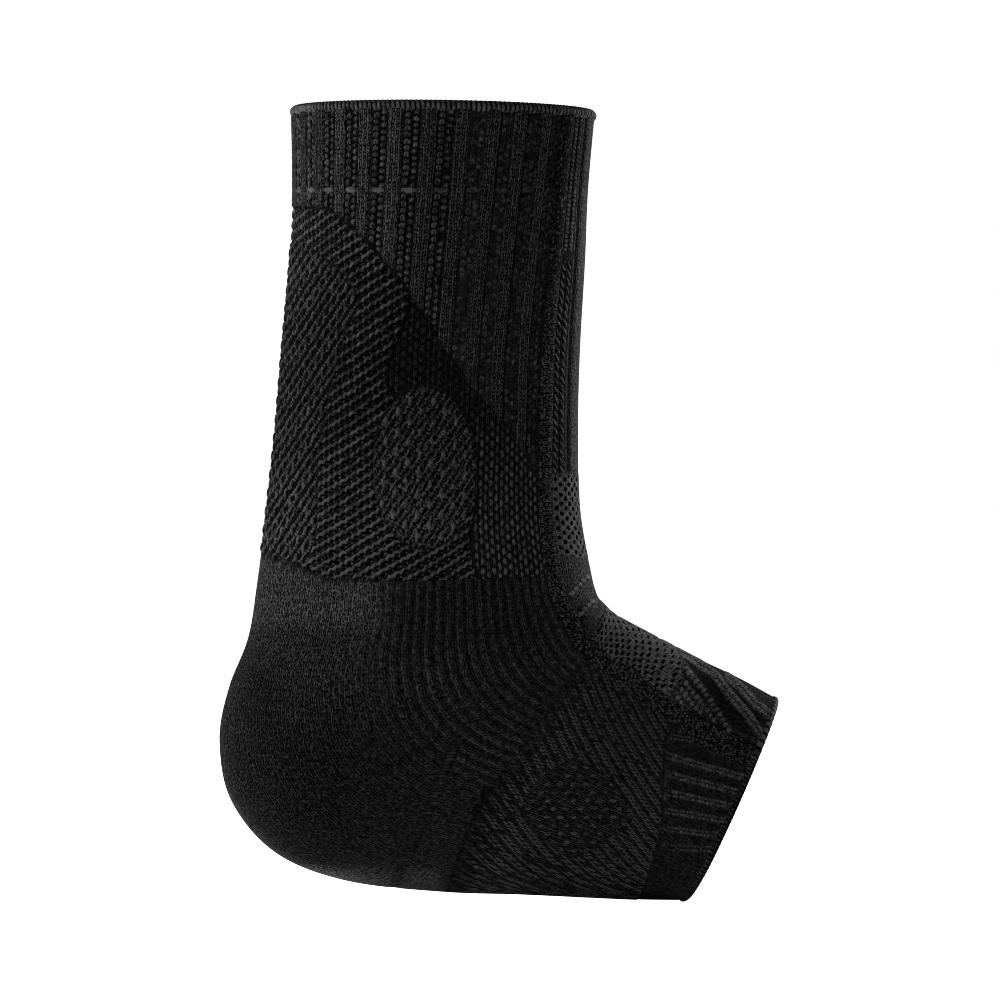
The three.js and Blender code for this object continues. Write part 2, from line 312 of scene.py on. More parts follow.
def raisedHeight(parts):
    # the same raised stitches as the material draws, in plain relief
    needed = ("rise", "lean", "size", "split", "u", "v")
    rise, lean, size, split, u, v = (parts[partRow[part]] for part in needed)
    inColumn = nearest(u, 1.0)
    inCell = nearest(v - (u - inColumn) / 2, 1.0)
    thinner = 1 + raisedSet["thin"] * np.minimum(split, 0)
    beads = bead(inColumn, inCell, raisedSet["beadWide"] * size, raisedSet["beadTall"] * size * thinner)
    rows = bead(nearest(v, 1.0), 0, raisedSet["ridgeHalf"], 1)
    return rise * (beads + (rows - beads) * lean)


def fromLine(spots, line):
    # signed distance from a line drawn in the side view, and the distance along it
    away = np.full(len(spots.x), np.inf)
    run = np.zeros(len(spots.x))
    before = 0.0
    for (x0, z0), (x1, z1) in zip(line, line[1:]):
        length = math.hypot(x1 - x0, z1 - z0)
        dx, dz = (x1 - x0) / length, (z1 - z0) / length
        on = np.clip((spots.x - x0) * dx + (spots.z - z0) * dz, 0, length)
        gapX, gapZ = spots.x - x0 - on * dx, spots.z - z0 - on * dz
        side = np.where(gapX * dz - gapZ * dx < 0, -1.0, 1.0)
        gap = np.hypot(gapX, gapZ)
        closer = gap < np.abs(away)
        away = np.where(closer, side * gap, away)
        run = np.where(closer, before + on, run)
        before += length
    return away, run


def layGrid(name, across, along):
    # flat grid, with the place of each point on it as shares from 0 to 1
    bpy.ops.object.select_all(action="DESELECT")
    bpy.ops.mesh.primitive_grid_add(x_subdivisions=across, y_subdivisions=along, size=1)
    piece = bpy.context.object
    piece.name = name
    flat = np.empty(len(piece.data.vertices) * 3)
    piece.data.vertices.foreach_get("co", flat)
    flat = flat.reshape(-1, 3)
    return piece, flat[:, 0] + 0.5, flat[:, 1] + 0.5


def dress(piece, points, spots, parts, border, slant):
    # places the points and stores the knit's own coordinates, in millimetres and in stitches, and its shade
    mesh = piece.data
    mesh.vertices.foreach_set("co", (points * mm).ravel())
    corner = np.empty(len(mesh.loops), dtype=np.int32)
    mesh.loops.foreach_get("vertex_index", corner)
    c, s = math.cos(math.radians(slant)), math.sin(math.radians(slant))
    mesh.uv_layers[0].name = "knit"
    mesh.uv_layers.new(name="stitch")
    mesh.uv_layers.new(name="slant")
    for layer, across, along in (("knit", -spots.across, spots.run),
                                 ("stitch", parts[partRow["u"]], parts[partRow["v"]]),
                                 ("slant", spots.across * c + spots.up * s, spots.z * c - spots.x * s)):
        mesh.uv_layers[layer].data.foreach_set("uv", np.column_stack([across, along])[corner].ravel())
    for key, values in [*zip(shadeParts, parts[partRow["tone"]:]), ("border", border)]:
        mesh.attributes.new(key, "FLOAT", "POINT").data.foreach_set("value", values.astype(np.float32))
    mesh.update()


def lineAt(line, rib):
    # station of a border at each rib, from one number or from a function of the rib
    return line(rib) if callable(line) else np.full(len(rib), float(line))


# walls: how many times coarser the lining's grid is, angles in degrees, and distances that count as none
wallSet = dict(liningStep=6, slant=57, smoothAngle=75, weld=1e-6, edge=1e-5)


def wallOf(name, ribs, lines, wall, relief, size, closed=False, slant=wallSet["slant"]):
    # outer skin with its stitches, a plainer lining, and the edges bridged between them
    sides = []
    for part, step in (("outer", 1), ("lining", wallSet["liningStep"])):
        piece, u, v = layGrid(name, *(count // step for count in size))
        rib = ribs[0] + (ribs[1] - ribs[0]) * u
        start, end = lineAt(lines[0], rib), lineAt(lines[1], rib)
        spots = Spots(rib, start + (end - start) * v)
        spots.fromStart = spots.run - readTable(skinLengths, girthShare(rib, start), start)[:, 0]
        spots.fromEnd = spots.run - readTable(skinLengths, girthShare(rib, end), end)[:, 0]
        border = np.where(v < wallSet["edge"], 1.0, np.where(v > 1 - wallSet["edge"], 2.0, 0.0))
        parts = relief(spots) if part == "outer" else pattern(spots, height=-wall, fine=1)
        height = parts[partRow["height"]] + raisedHeight(parts)
        points = spots.points + spots.normals * height[:, None]
        dress(piece, points, spots, parts, border, slant)
        bpy.ops.object.mode_set(mode="EDIT")
        bpy.ops.mesh.select_all(action="SELECT")
        if closed:
            bpy.ops.mesh.remove_doubles(threshold=wallSet["weld"])
        if part == "lining":
            bpy.ops.mesh.flip_normals()
        bpy.ops.object.mode_set(mode="OBJECT")
        sides.append(piece)
    bpy.ops.object.select_all(action="DESELECT")
    for piece in sides:
        piece.select_set(True)
    outer = sides[0]
    bpy.context.view_layer.objects.active = outer
    bpy.ops.object.join()
    for mark in ((1, 2) if closed else (0,)):
        bridgeEdges(outer, mark)
    bpy.ops.object.shade_smooth_by_angle(angle=math.radians(wallSet["smoothAngle"]))
    outer.name = name
    return outer


def bridgeEdges(piece, mark):
    # joins the open edges of skin and lining; mark 1 or 2 takes only one end of a hoop
    bpy.ops.object.mode_set(mode="EDIT")
    bpy.ops.mesh.select_mode(type="EDGE")
    bpy.ops.mesh.select_all(action="DESELECT")
    bpy.ops.mesh.select_non_manifold(extend=False, use_wire=False, use_boundary=True, use_multi_face=False,
                                     use_non_contiguous=False, use_verts=False)
    if mark:
        bpy.ops.object.mode_set(mode="OBJECT")
        marks = np.empty(len(piece.data.vertices), dtype=np.float32)
        piece.data.attributes["border"].data.foreach_get("value", marks)
        ends = np.empty(len(piece.data.edges) * 2, dtype=np.int32)
        piece.data.edges.foreach_get("vertices", ends)
        picked = np.empty(len(piece.data.edges), dtype=bool)
        piece.data.edges.foreach_get("select", picked)
        keep = picked & (np.abs(marks[ends.reshape(-1, 2)] - mark) < 0.5).all(axis=1)
        points = np.zeros(len(piece.data.vertices), dtype=bool)
        points[ends.reshape(-1, 2)[keep].ravel()] = True
        piece.data.polygons.foreach_set("select", np.zeros(len(piece.data.polygons), dtype=bool))
        piece.data.edges.foreach_set("select", keep)
        piece.data.vertices.foreach_set("select", points)
        bpy.ops.object.mode_set(mode="EDIT")
    bpy.ops.mesh.bridge_edge_loops()
    bpy.ops.object.mode_set(mode="OBJECT")


# materials: heights of the yarn and widths of what makes it uneven in millimetres, light in shares
yarnSet = dict(
    sheen=0.008, sheenRoughness=0.35, shine=0.1, gapShine=0.012, bump=0.9, plain=0.7,
    sway=2.2222, uneven=1.1111, fibre=0.30303, noise=(0.3, 0.7), unevenLight=(0.4, 1.6),
    fibreLight=(0.7, 1.3), gaps=(0.25, 0.9), paintedStitchShade=(0.02, 1.6), lots=(0.5, 1.4),
    fibreHeight=0.15, raisedHeight=0.4,
)
# stocking stitch: millimetres between its columns and between its rows, then how far it sways and leans, in
# stitches, and how light its smooth line is
stockingSet = dict(wale=1.22, course=0.93, sway=0.6, lean=1.1, rowSway=1.4, dottedFrom=0.25, smooth=0.9)
# slanted ground: rows of short dashes, their gap and length in millimetres
slantSet = dict(gap=1.6, dash=0.95, sway=0.5, thin=4.0, light=1.1, joined=0.2)
# stray strands, their width and length in millimetres
strandSet = dict(wide=0.42, long=0.95, edge=(0.44, 0.57), light=1.2)
# slit in an open bead, and the dot below each step of a slanted row, in shares of a stitch
slitSet = dict(side=(0.06, 0.18), below=(-0.25, -0.1), dark=0.85)
dotSet = dict(tall=0.15, wide=0.18, shift=0.25, core=0.4, light=0.65)


# nylon and elastane knit: black and matt, each stitch a small rounded loop with a dark gap beside it, with
# painted light on the tops and painted shade in the gaps
def knitYarn(name, dark, light, roughness, stitchDepth):
    yarn = bpy.data.materials.new(name)
    yarn.use_nodes = True
    tree = yarn.node_tree
    shader = tree.nodes["Principled BSDF"]
    shader.inputs["Roughness"].default_value = roughness
    shader.inputs["Sheen Weight"].default_value = yarnSet["sheen"]
    shader.inputs["Sheen Roughness"].default_value = yarnSet["sheenRoughness"]
    calc = "ShaderNodeMath"
    floatMix = {"data_type": "FLOAT"}
    where = addNode(tree, "ShaderNodeTexCoord", {}).outputs["Object"]
    place = {}
    for layer in ("knit", "stitch", "slant"):
        layerPlace = addNode(tree, "ShaderNodeUVMap", {"uv_map": layer})
        place[layer] = addNode(tree, "ShaderNodeSeparateXYZ", {}, layerPlace).outputs
    share = {}
    for key in shadeParts:
        share[key] = addNode(tree, "ShaderNodeAttribute", {"attribute_name": key}).outputs["Fac"]
    # stocking stitch: a smooth line and a dotted one to each wale, none quite straight
    sway = addNode(tree, "ShaderNodeTexNoise", {}, Vector=where, Scale=1 / (yarnSet["sway"] * mm), Detail=1.0)
    column = addNode(tree, calc, "DIVIDE", place["knit"][0], stockingSet["wale"])
    columnSway = addNode(tree, calc, "MULTIPLY_ADD", sway, stockingSet["sway"], column)
    inColumn = addNode(tree, calc, "WRAP", columnSway, 0.5, -0.5)
    row = addNode(tree, calc, "DIVIDE", place["knit"][1], stockingSet["course"])
    side = addNode(tree, calc, "ABSOLUTE", inColumn)
    leaning = addNode(tree, calc, "MULTIPLY_ADD", side, stockingSet["lean"], row)
    leaningSway = addNode(tree, calc, "MULTIPLY_ADD", sway, stockingSet["rowSway"], leaning)
    rowTurn = addNode(tree, calc, "MULTIPLY", leaningSway, math.pi)
    rowWave = addNode(tree, calc, "SINE", rowTurn)
    rowHeight = addNode(tree, calc, "ABSOLUTE", rowWave)
    dotted = addNode(tree, calc, "GREATER_THAN", side, stockingSet["dottedFrom"])
    rowPart = addNode(tree, "ShaderNodeMix", floatMix, dotted, None, stockingSet["smooth"], rowHeight)
    columnTurn = addNode(tree, calc, "MULTIPLY", inColumn, 2 * math.pi)
    columnWave = addNode(tree, calc, "COSINE", columnTurn)
    columnHeight = addNode(tree, calc, "ABSOLUTE", columnWave)
    loop = addNode(tree, calc, "MULTIPLY", rowPart, columnHeight)
    # slanted ground: thin dashes in rows that rise to the front
    off = addNode(tree, calc, "DIVIDE", place["slant"][1], slantSet["gap"])
    on = addNode(tree, calc, "DIVIDE", place["slant"][0], slantSet["dash"])
    offSway = addNode(tree, calc, "MULTIPLY_ADD", sway, slantSet["sway"], off)
    line = addNode(tree, calc, "FLOOR", offSway)
    lineLot = addNode(tree, "ShaderNodeTexWhiteNoise", {"noise_dimensions": "1D"}, W=line)
    shifted = addNode(tree, calc, "ADD", lineLot, on)
    onTurn = addNode(tree, calc, "MULTIPLY", shifted, math.pi)
    onWave = addNode(tree, calc, "SINE", onTurn)
    onHeight = addNode(tree, calc, "ABSOLUTE", onWave)
    offTurn = addNode(tree, calc, "MULTIPLY", offSway, math.pi)
    offWave = addNode(tree, calc, "SINE", offTurn)
    offHeight = addNode(tree, calc, "POWER", offWave, slantSet["thin"])
    onPart = addNode(tree, calc, "MULTIPLY_ADD", onHeight, slantSet["light"], slantSet["joined"])
    dash = addNode(tree, calc, "MULTIPLY", onPart, offHeight)
    stitch = addNode(tree, "ShaderNodeMix", floatMix, share["ground"], None, loop, dash)
    # stray strands along the wales, or along the dashes of the ground
    strandPlace = []
    for axis, length in ((0, "wide"), (1, "long")):
        wales, dashes = place["knit"][axis], place["slant"][1 - axis]
        mixed = addNode(tree, "ShaderNodeMix", floatMix, share["ground"], None, wales, dashes)
        strandPlace.append(addNode(tree, calc, "DIVIDE", mixed, strandSet[length]))
    strandVector = addNode(tree, "ShaderNodeCombineXYZ", {}, *strandPlace)
    strandNoise = addNode(tree, "ShaderNodeTexNoise", {"noise_dimensions": "2D"}, Vector=strandVector,
                          Scale=1.0, Detail=1.0)
    strand = addNode(tree, "ShaderNodeMapRange", {}, strandNoise, *strandSet["edge"], 0.0, strandSet["light"])
    strayed = addNode(tree, "ShaderNodeMix", floatMix, share["stray"], None, stitch, strand)
    stitchShare = addNode(tree, "ShaderNodeMix", floatMix, share["fine"], None, yarnSet["plain"], strayed)
    # raised beads, set like bricks, none quite in line, some open below or along the middle
    swayParts = addNode(tree, "ShaderNodeSeparateXYZ", {}, sway.outputs["Color"]).outputs
    swaySize = addNode(tree, calc, "MULTIPLY", share["size"], share["size"])
    swayAmount = addNode(tree, calc, "MULTIPLY", swaySize, raisedSet["sway"])
    stitchPlace = []
    for part in (0, 1):
        swayOff = addNode(tree, calc, "SUBTRACT", swayParts[part], 0.5)
        stitchPlace.append(addNode(tree, calc, "MULTIPLY_ADD", swayOff, swayAmount, place["stitch"][part]))
    stitchU, stitchV = stitchPlace
    inU = addNode(tree, calc, "WRAP", stitchU, 0.5, -0.5)
    beadColumn = addNode(tree, calc, "SUBTRACT", stitchU, inU)
    brick = addNode(tree, calc, "MULTIPLY_ADD", beadColumn, -0.5, stitchV)
    inV = addNode(tree, calc, "WRAP", brick, 0.5, -0.5)
    beadRow = addNode(tree, calc, "SUBTRACT", brick, inV)
    # sparse beads sit off their places
    shiftKey = [addNode(tree, calc, "ROUND", count) for count in (beadColumn, beadRow)]
    shiftVector = addNode(tree, "ShaderNodeCombineXYZ", {}, *shiftKey)
    shiftLot = addNode(tree, "ShaderNodeTexWhiteNoise", {"noise_dimensions": "2D"}, shiftVector)
    shiftParts = addNode(tree, "ShaderNodeSeparateXYZ", {}, shiftLot.outputs["Color"]).outputs
    shifts = []
    for part, inCell in ((0, inU), (2, inV)):
        shiftOff = addNode(tree, calc, "SUBTRACT", shiftParts[part], 0.5)
        shifts.append(addNode(tree, calc, "MULTIPLY_ADD", shiftOff, share["sparse"], inCell))
    inU, inV = shifts
    wide = addNode(tree, calc, "DIVIDE", inU, raisedSet["beadWide"])
    thinShare = addNode(tree, calc, "MINIMUM", share["split"], 0.0)
    beadTall = raisedSet["beadTall"]
    tallHalf = addNode(tree, calc, "MULTIPLY_ADD", thinShare, raisedSet["thin"] * beadTall, beadTall)
    tall = addNode(tree, calc, "DIVIDE", inV, tallHalf)
    beadPlace = addNode(tree, "ShaderNodeCombineXYZ", {}, wide, tall)
    beadFar = addNode(tree, "ShaderNodeVectorMath", "LENGTH", beadPlace).outputs["Value"]
    beadEdge = addNode(tree, calc, "DIVIDE", beadFar, share["size"])
    beadSquare = addNode(tree, calc, "MULTIPLY", beadEdge, beadEdge)
    beadLeft = addNode(tree, calc, "SUBTRACT", 1.0, beadSquare)
    beadOver = addNode(tree, calc, "MAXIMUM", beadLeft, 0.0)
    beads = addNode(tree, calc, "SQRT", beadOver)
    offU = addNode(tree, calc, "ABSOLUTE", inU)
    slitSide = addNode(tree, "ShaderNodeMapRange", {}, offU, *slitSet["side"], 1.0, 0.0)
    slitLow = addNode(tree, "ShaderNodeMapRange", {}, inV, *slitSet["below"], 0.0, 1.0)
    slitBelow = addNode(tree, calc, "MULTIPLY", slitSide, slitLow)
    openShare = addNode(tree, calc, "MAXIMUM", share["split"], 0.0)
    slit = addNode(tree, calc, "MULTIPLY", slitBelow, openShare)
    beadsOpen = addNode(tree, calc, "MULTIPLY_ADD", slit, -slitSet["dark"], 1.0)
    beadsCut = addNode(tree, calc, "MULTIPLY", beads, beadsOpen)
    # slanted rows: one thin yarn to a row, climbing in steps, and a dot below each step
    inRow = addNode(tree, calc, "WRAP", stitchV, 0.5, -0.5)
    rowNumber = addNode(tree, calc, "SUBTRACT", stitchV, inRow)
    step = addNode(tree, calc, "MULTIPLY_ADD", rowNumber, raisedSet["rowShift"], stitchU)
    stepHeight = addNode(tree, calc, "PINGPONG", step, 0.5)
    centre = addNode(tree, calc, "MULTIPLY_ADD", stepHeight, raisedSet["zigzag"], -raisedSet["zigzag"] / 4)
    offCentre = addNode(tree, calc, "SUBTRACT", inRow, centre)
    rowEdge = addNode(tree, calc, "DIVIDE", offCentre, raisedSet["rowHalf"])
    rowSquare = addNode(tree, calc, "MULTIPLY", rowEdge, rowEdge)
    rowLeft = addNode(tree, calc, "SUBTRACT", 1.0, rowSquare)
    rowOver = addNode(tree, calc, "MAXIMUM", rowLeft, 0.0)
    rowRound = addNode(tree, calc, "SQRT", rowOver)
    strokeTurn = addNode(tree, calc, "MULTIPLY", step, 2 * math.pi)
    strokeWave = addNode(tree, calc, "SINE", strokeTurn)
    stroke = addNode(tree, calc, "MULTIPLY_ADD", strokeWave, raisedSet["stroke"], 1 - raisedSet["stroke"])
    rows = addNode(tree, calc, "MULTIPLY", rowRound, stroke)
    gapNumber = addNode(tree, calc, "FLOOR", stitchV)
    gapPlace = addNode(tree, calc, "SUBTRACT", stitchV, gapNumber)
    inGap = addNode(tree, calc, "MULTIPLY_ADD", gapPlace, 1 / dotSet["tall"], -0.5 / dotSet["tall"])
    gapStep = addNode(tree, calc, "MULTIPLY_ADD", gapNumber, raisedSet["rowShift"], stitchU)
    gapShift = addNode(tree, calc, "SUBTRACT", gapStep, dotSet["shift"])
    inGapStep = addNode(tree, calc, "WRAP", gapShift, 0.5, -0.5)
    gapAlong = addNode(tree, calc, "DIVIDE", inGapStep, dotSet["wide"])
    dotPlace = addNode(tree, "ShaderNodeCombineXYZ", {}, inGap, gapAlong)
    dotFar = addNode(tree, "ShaderNodeVectorMath", "LENGTH", dotPlace).outputs["Value"]
    dots = addNode(tree, "ShaderNodeMapRange", {}, dotFar, dotSet["core"], 1.0, dotSet["light"], 0.0)
    rowsDots = addNode(tree, calc, "MAXIMUM", rows, dots)
    raisedAll = addNode(tree, "ShaderNodeMix", floatMix, share["lean"], None, beadsCut, rowsDots)
    # each stitch draws a lot, which leaves it out or makes it lighter or darker
    stepNumber = addNode(tree, calc, "FLOOR", step)
    keys = []
    for beadCount, rowCount in ((beadColumn, rowNumber), (beadRow, stepNumber)):
        count = addNode(tree, "ShaderNodeMix", floatMix, share["lean"], None, beadCount, rowCount)
        keys.append(addNode(tree, calc, "ROUND", count))
    stitchKey = addNode(tree, "ShaderNodeCombineXYZ", {}, *keys)
    lot = addNode(tree, "ShaderNodeTexWhiteNoise", {"noise_dimensions": "2D"}, stitchKey)
    kept = addNode(tree, calc, "GREATER_THAN", lot, share["sparse"])
    raisedKept = addNode(tree, calc, "MULTIPLY", raisedAll, kept)
    raised = addNode(tree, calc, "MULTIPLY", raisedKept, share["lift"])
    lotColour = addNode(tree, "ShaderNodeSeparateXYZ", {}, lot.outputs["Color"]).outputs[1]
    lotShare = addNode(tree, "ShaderNodeMapRange", {}, lotColour, 0.0, 1.0, *yarnSet["lots"])
    raisedShade = addNode(tree, calc, "MULTIPLY", raised, lotShare)
    # relief in millimetres; the fibres are drawn as coarse as they need to show
    fibre = addNode(tree, "ShaderNodeTexNoise", {}, Vector=where, Scale=1 / (yarnSet["fibre"] * mm),
                    Detail=2.0)
    fineHeight = addNode(tree, calc, "MULTIPLY", stitchShare, stitchDepth)
    fibreHeight = addNode(tree, calc, "MULTIPLY_ADD", fibre, yarnSet["fibreHeight"], fineHeight)
    surface = addNode(tree, calc, "MULTIPLY_ADD", raised, yarnSet["raisedHeight"], fibreHeight)
    bump = addNode(tree, "ShaderNodeBump", {}, Height=surface, Strength=yarnSet["bump"], Distance=mm)
    tree.links.new(bump.outputs[0], shader.inputs["Normal"])
    # shade: painted light on the stitch tops, painted shade near black in the gaps, uneven from stitch to
    # stitch
    uneven = addNode(tree, "ShaderNodeTexNoise", {}, Vector=where, Scale=1 / (yarnSet["uneven"] * mm),
                     Detail=1.0)
    unevenShare = addNode(tree, "ShaderNodeMapRange", {}, uneven, *yarnSet["noise"], *yarnSet["unevenLight"])
    # painted shade: the deeper a point lies in its stitch, the darker its colour, and the tops are painted
    # light
    depth = addNode(tree, "ShaderNodeMapRange", {}, stitchShare, *yarnSet["gaps"], *yarnSet["paintedStitchShade"])
    shade = addNode(tree, calc, "MULTIPLY_ADD", share["tone"], depth, raisedShade)
    fibreShare = addNode(tree, "ShaderNodeMapRange", {}, fibre, *yarnSet["noise"], *yarnSet["fibreLight"])
    shadeFibre = addNode(tree, calc, "MULTIPLY", shade, fibreShare)
    shadeUneven = addNode(tree, calc, {"operation": "MULTIPLY", "use_clamp": True}, shadeFibre, unevenShare)
    # only the stitch tops shine a little, the gaps stay black even at a grazing angle
    shine = addNode(tree, calc, "MULTIPLY_ADD", shadeUneven, yarnSet["shine"], yarnSet["gapShine"])
    tree.links.new(shine.outputs[0], shader.inputs["Specular IOR Level"])
    colour = addNode(tree, "ShaderNodeMix", {"data_type": "RGBA"}, shadeUneven, None, None, None, None, None,
                     toLinear(dark), toLinear(light))
    tree.links.new(colour.outputs[2], shader.inputs["Base Color"])
    return yarn


blackKnit = knitYarn("black_stocking_knit", "#020202", "#5c5c5c", roughness=0.72, stitchDepth=0.35)
reliefKnit = knitYarn("black_relief_knit", "#020202", "#5c5c5c", roughness=0.68, stitchDepth=0.35)
frontKnit = knitYarn("black_mesh_knit", "#020202", "#727272", roughness=0.7, stitchDepth=0.3)
edgeYarn = knitYarn("black_edge_yarn", "#020202", "#5c5c5c", roughness=0.66, stitchDepth=0.2)
print("yarns mixed")

# stitch patterns
# ribs of the leg; a pair gives the values before and after a change
ribSet = dict(
    plateau=0.2, step=0.05, top=0.28, groove=(-0.75, -0.4), beadColumn=0.375, columnGap=0.25, beadPitch=1.67,
    changes=(6.6, 7.8, 11.2), changeOver=1.1, beadRise=(0.4, 0.7), beadLift=(0.45, 0.95), beadSize=0.86,
    dim=0.7, litLarger=0.4, leftOut=0.35, ribTone=(0.4, 0.52), gapTone=(0.15, 0.09), smoother=0.55,
    bandDarker=0.4, bandLarger=0.2,
)
# light stitches: millimetres between the places where one may show, and the lean of their rows
fleckSet = dict(gap=0.8, lean=(0.87, 0.5), tone=0.2, lift=2.1)
# seams: half width and edge in ribs, wall, crown, pitch of the dashes and ranges in millimetres
seamSet = dict(
    half=0.3, edge=(0.28, 0.32), wall=1.8, size=(24, 540), crown=0.3, dashPitch=0.9, dashes=2.4,
    cuffFrom=(150, 165), tone=(0.3, 0.1), fleckFrom=(39.6, 40.4), fleckBelow=(73, 74), leftOut=0.45,
)
beadRowSet = dict(edge=(0.85, 1.1), filled=0.96)  # shares of a row's half width


def scatter(number):
    # even but unordered number from 0 to 1 for each stitch
    return np.sin(number * 12.9898) * 43758.5453 % 1


def lineThrough(points, value):
    return np.interp(value, *zip(*points))


def ribbed(spots, tall):
    # flat ribs of four fine wales, with two columns of beads between them that open towards the back
    plateau = ribSet["plateau"]
    flat = 1 - ease(plateau, plateau + ribSet["step"], np.abs(nearest(spots.ribPlace, 1.0)))
    between = 1 - flat
    # to the back the beads open and are painted lighter, then the ribs are painted lighter where the key
    # light falls, then the beads close to smooth bands
    openedAndPaintedLit, lit, banded = (ease(low, low + ribSet["changeOver"], spots.ribPlace) for low in ribSet["changes"])
    groove = change(ribSet["groove"], openedAndPaintedLit)
    dim = np.where(spots.ribPlace % 1 < 0.5, ribSet["dim"], 1.0)
    # painted light: the ribs lighter towards the back, where the key light falls
    ribTone = change(ribSet["ribTone"], lit) * (1 - ribSet["bandDarker"] * banded)
    return pattern(
        spots, height=groove + flat * (ribSet["top"] - groove),
        # painted shade in the sunken gaps between the ribs; the beads in them painted lighter towards the
        # back, where the key light falls
        tone=flat * ribTone + between * change(ribSet["gapTone"], openedAndPaintedLit),
        fine=1 - ribSet["smoother"] * between * (1 - openedAndPaintedLit),
        rise=between * change(ribSet["beadRise"], openedAndPaintedLit) * dim,
        lift=between * change(ribSet["beadLift"], openedAndPaintedLit) * dim,
        size=ribSet["beadSize"] + ribSet["litLarger"] * (dim - ribSet["dim"]) + ribSet["bandLarger"] * banded,
        sparse=ribSet["leftOut"] * (1 - openedAndPaintedLit), split=np.where(dim < 1, 0.0, 1.0) * (1 - banded),
        u=(spots.ribPlace - ribSet["beadColumn"]) / ribSet["columnGap"],
        v=spots.run / (ribSet["beadPitch"] * tall))


def slantRows(spots, rise, rows):
    # yarns that climb in steps, row above row; a row climbs as rise says, at about the angle given
    c, s = math.cos(math.radians(rows["angle"])), math.sin(math.radians(rows["angle"]))
    return pattern(
        spots, height=-0.25, rise=0.4, tone=0.08, fine=1, ground=1, stray=0.55, lift=rows["lift"], lean=1,
        size=0.75, u=(spots.across * c + spots.up * s) / rows["pitch"], v=(spots.up - rise) * c / rows["gap"])


def drops(spots, columns, rows, **given):
    # single raised stitches in columns, set like bricks
    return pattern(spots, u=spots.across / columns, v=spots.up / rows, **given)


def openMesh(spots, tone, size, u, v, fine=0.8, split=0):
    # light knit with small dark holes
    return pattern(spots, height=0.1, rise=-0.4, tone=tone, fine=fine, lift=-2, size=size, split=split,
                   u=u, v=v)


def flecks(spots, left):
    # single light stitches scattered on black
    c, s = fleckSet["lean"]
    return pattern(
        spots, height=-0.15, tone=fleckSet["tone"], fine=1, stray=0.9, lift=fleckSet["lift"], sparse=left,
        u=(c * spots.x + s * spots.z) / fleckSet["gap"], v=(c * spots.z - s * spots.x) / fleckSet["gap"])


def ladder(spots):
    # linked seam: tangled level dashes with a few light stitches, smoother in the cuff
    off = (spots.fold - seamRib) / seamSet["half"]
    inCuff = ease(*seamSet["cuffFrom"], spots.z)
    return pattern(
        spots, height=seamSet["crown"] * np.sqrt(np.clip(1 - off ** 2, 0, 1)),
        tone=change(seamSet["tone"], inCuff),
        fine=1, ground=1 - inCuff, stray=0.8, lift=0.8, size=0.9, sparse=0.7,
        u=off * seamSet["dashes"], v=spots.run / seamSet["dashPitch"])


def beadedRow(spots, line, halfWide, pitch, lift=0.75, columns=2, rise=0.25, tone=0.15, size=1.05):
    # close lines of beads along a line in the side view, and the band that they fill
    away, run = fromLine(spots, line)
    low, high = beadRowSet["edge"]
    band = 1 - ease(low * halfWide, high * halfWide, np.abs(away))
    beads = pattern(spots, rise=rise, tone=tone, fine=1, lift=lift, size=size, v=run / pitch,
                    u=away * columns / (2 * beadRowSet["filled"] * halfWide) + (columns - 1) / 2)
    return beads, band


def inside(spots, outline):
    # 1 where a point lies within an outline in the side view
    result = np.zeros(len(spots.x), dtype=bool)
    for (x0, z0), (x1, z1) in zip(outline, outline[1:] + outline[:1]):
        crosses = (z0 > spots.z) != (z1 > spots.z)
        result ^= crosses & (spots.x < (x1 - x0) * (spots.z - z0) / (z1 - z0 + 1e-9) + x0)
    return result.astype(float)


def finish(piece, yarn, node):
    piece.data.materials.append(yarn)
    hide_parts(node)
    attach(piece, "root")
    print(piece.name, len(piece.data.polygons), "faces")


# cuff: ribs and beads, closed below by a row of long loops
cuffSet = dict(start=0.1, end=1.0, wall=2.6, size=(600, 66))
weltSet = dict(z=180.3, halfWide=0.26, halfTall=0.85, front=(3, 3.4), edge=(0.1, 0.5), tone=(0.35, 1.1),
               paintedLightFrom=(7.6, 8.4))
# front of the leg: places in ribs from the middle, pitches in millimetres
frontRibSet = dict(
    groove=dict(rib=1.35, half=0.14, deep=0.5, tone=(0.34, 0.04)),
    chain=dict(rib=1.9, half=0.3, start=(1.5, 1.56)),
    loops=dict(pitch=2.1, slope=1.2), beads=dict(pitch=1.15, slope=0.4), cuffFrom=(160, 166),
    end=(2.18, 2.22),
)


def frontRibs(spots):
    # from a seam to the middle: fine beads, which are slanted loops below the cuff, a groove with painted
    # shade, smooth ribs
    groove, chain, loops, beads = (frontRibSet[key] for key in ("groove", "chain", "loops", "beads"))
    # painted shade: the groove is sunk in and its colour darkened
    inGroove = np.exp(-((spots.fold - groove["rib"]) / groove["half"]) ** 2)
    smooth = pattern(spots, height=-groove["deep"] * inGroove, tone=change(groove["tone"], inGroove), fine=1)
    place = (spots.fold - chain["rib"]) / chain["half"]
    common = dict(height=-0.2, rise=0.3, tone=0.06, fine=1, u=place + 0.5)
    loopRow, beadRow = (spots.run / kind["pitch"] + kind["slope"] * place for kind in (loops, beads))
    loopKnit = pattern(spots, lift=0.7, split=-1, v=loopRow, **common)
    beadKnit = pattern(spots, lift=0.5, size=0.95, v=beadRow, **common)
    parts = blend(loopKnit, beadKnit, ease(*frontRibSet["cuffFrom"], spots.z))
    return blend(smooth, parts, ease(*chain["start"], spots.fold))


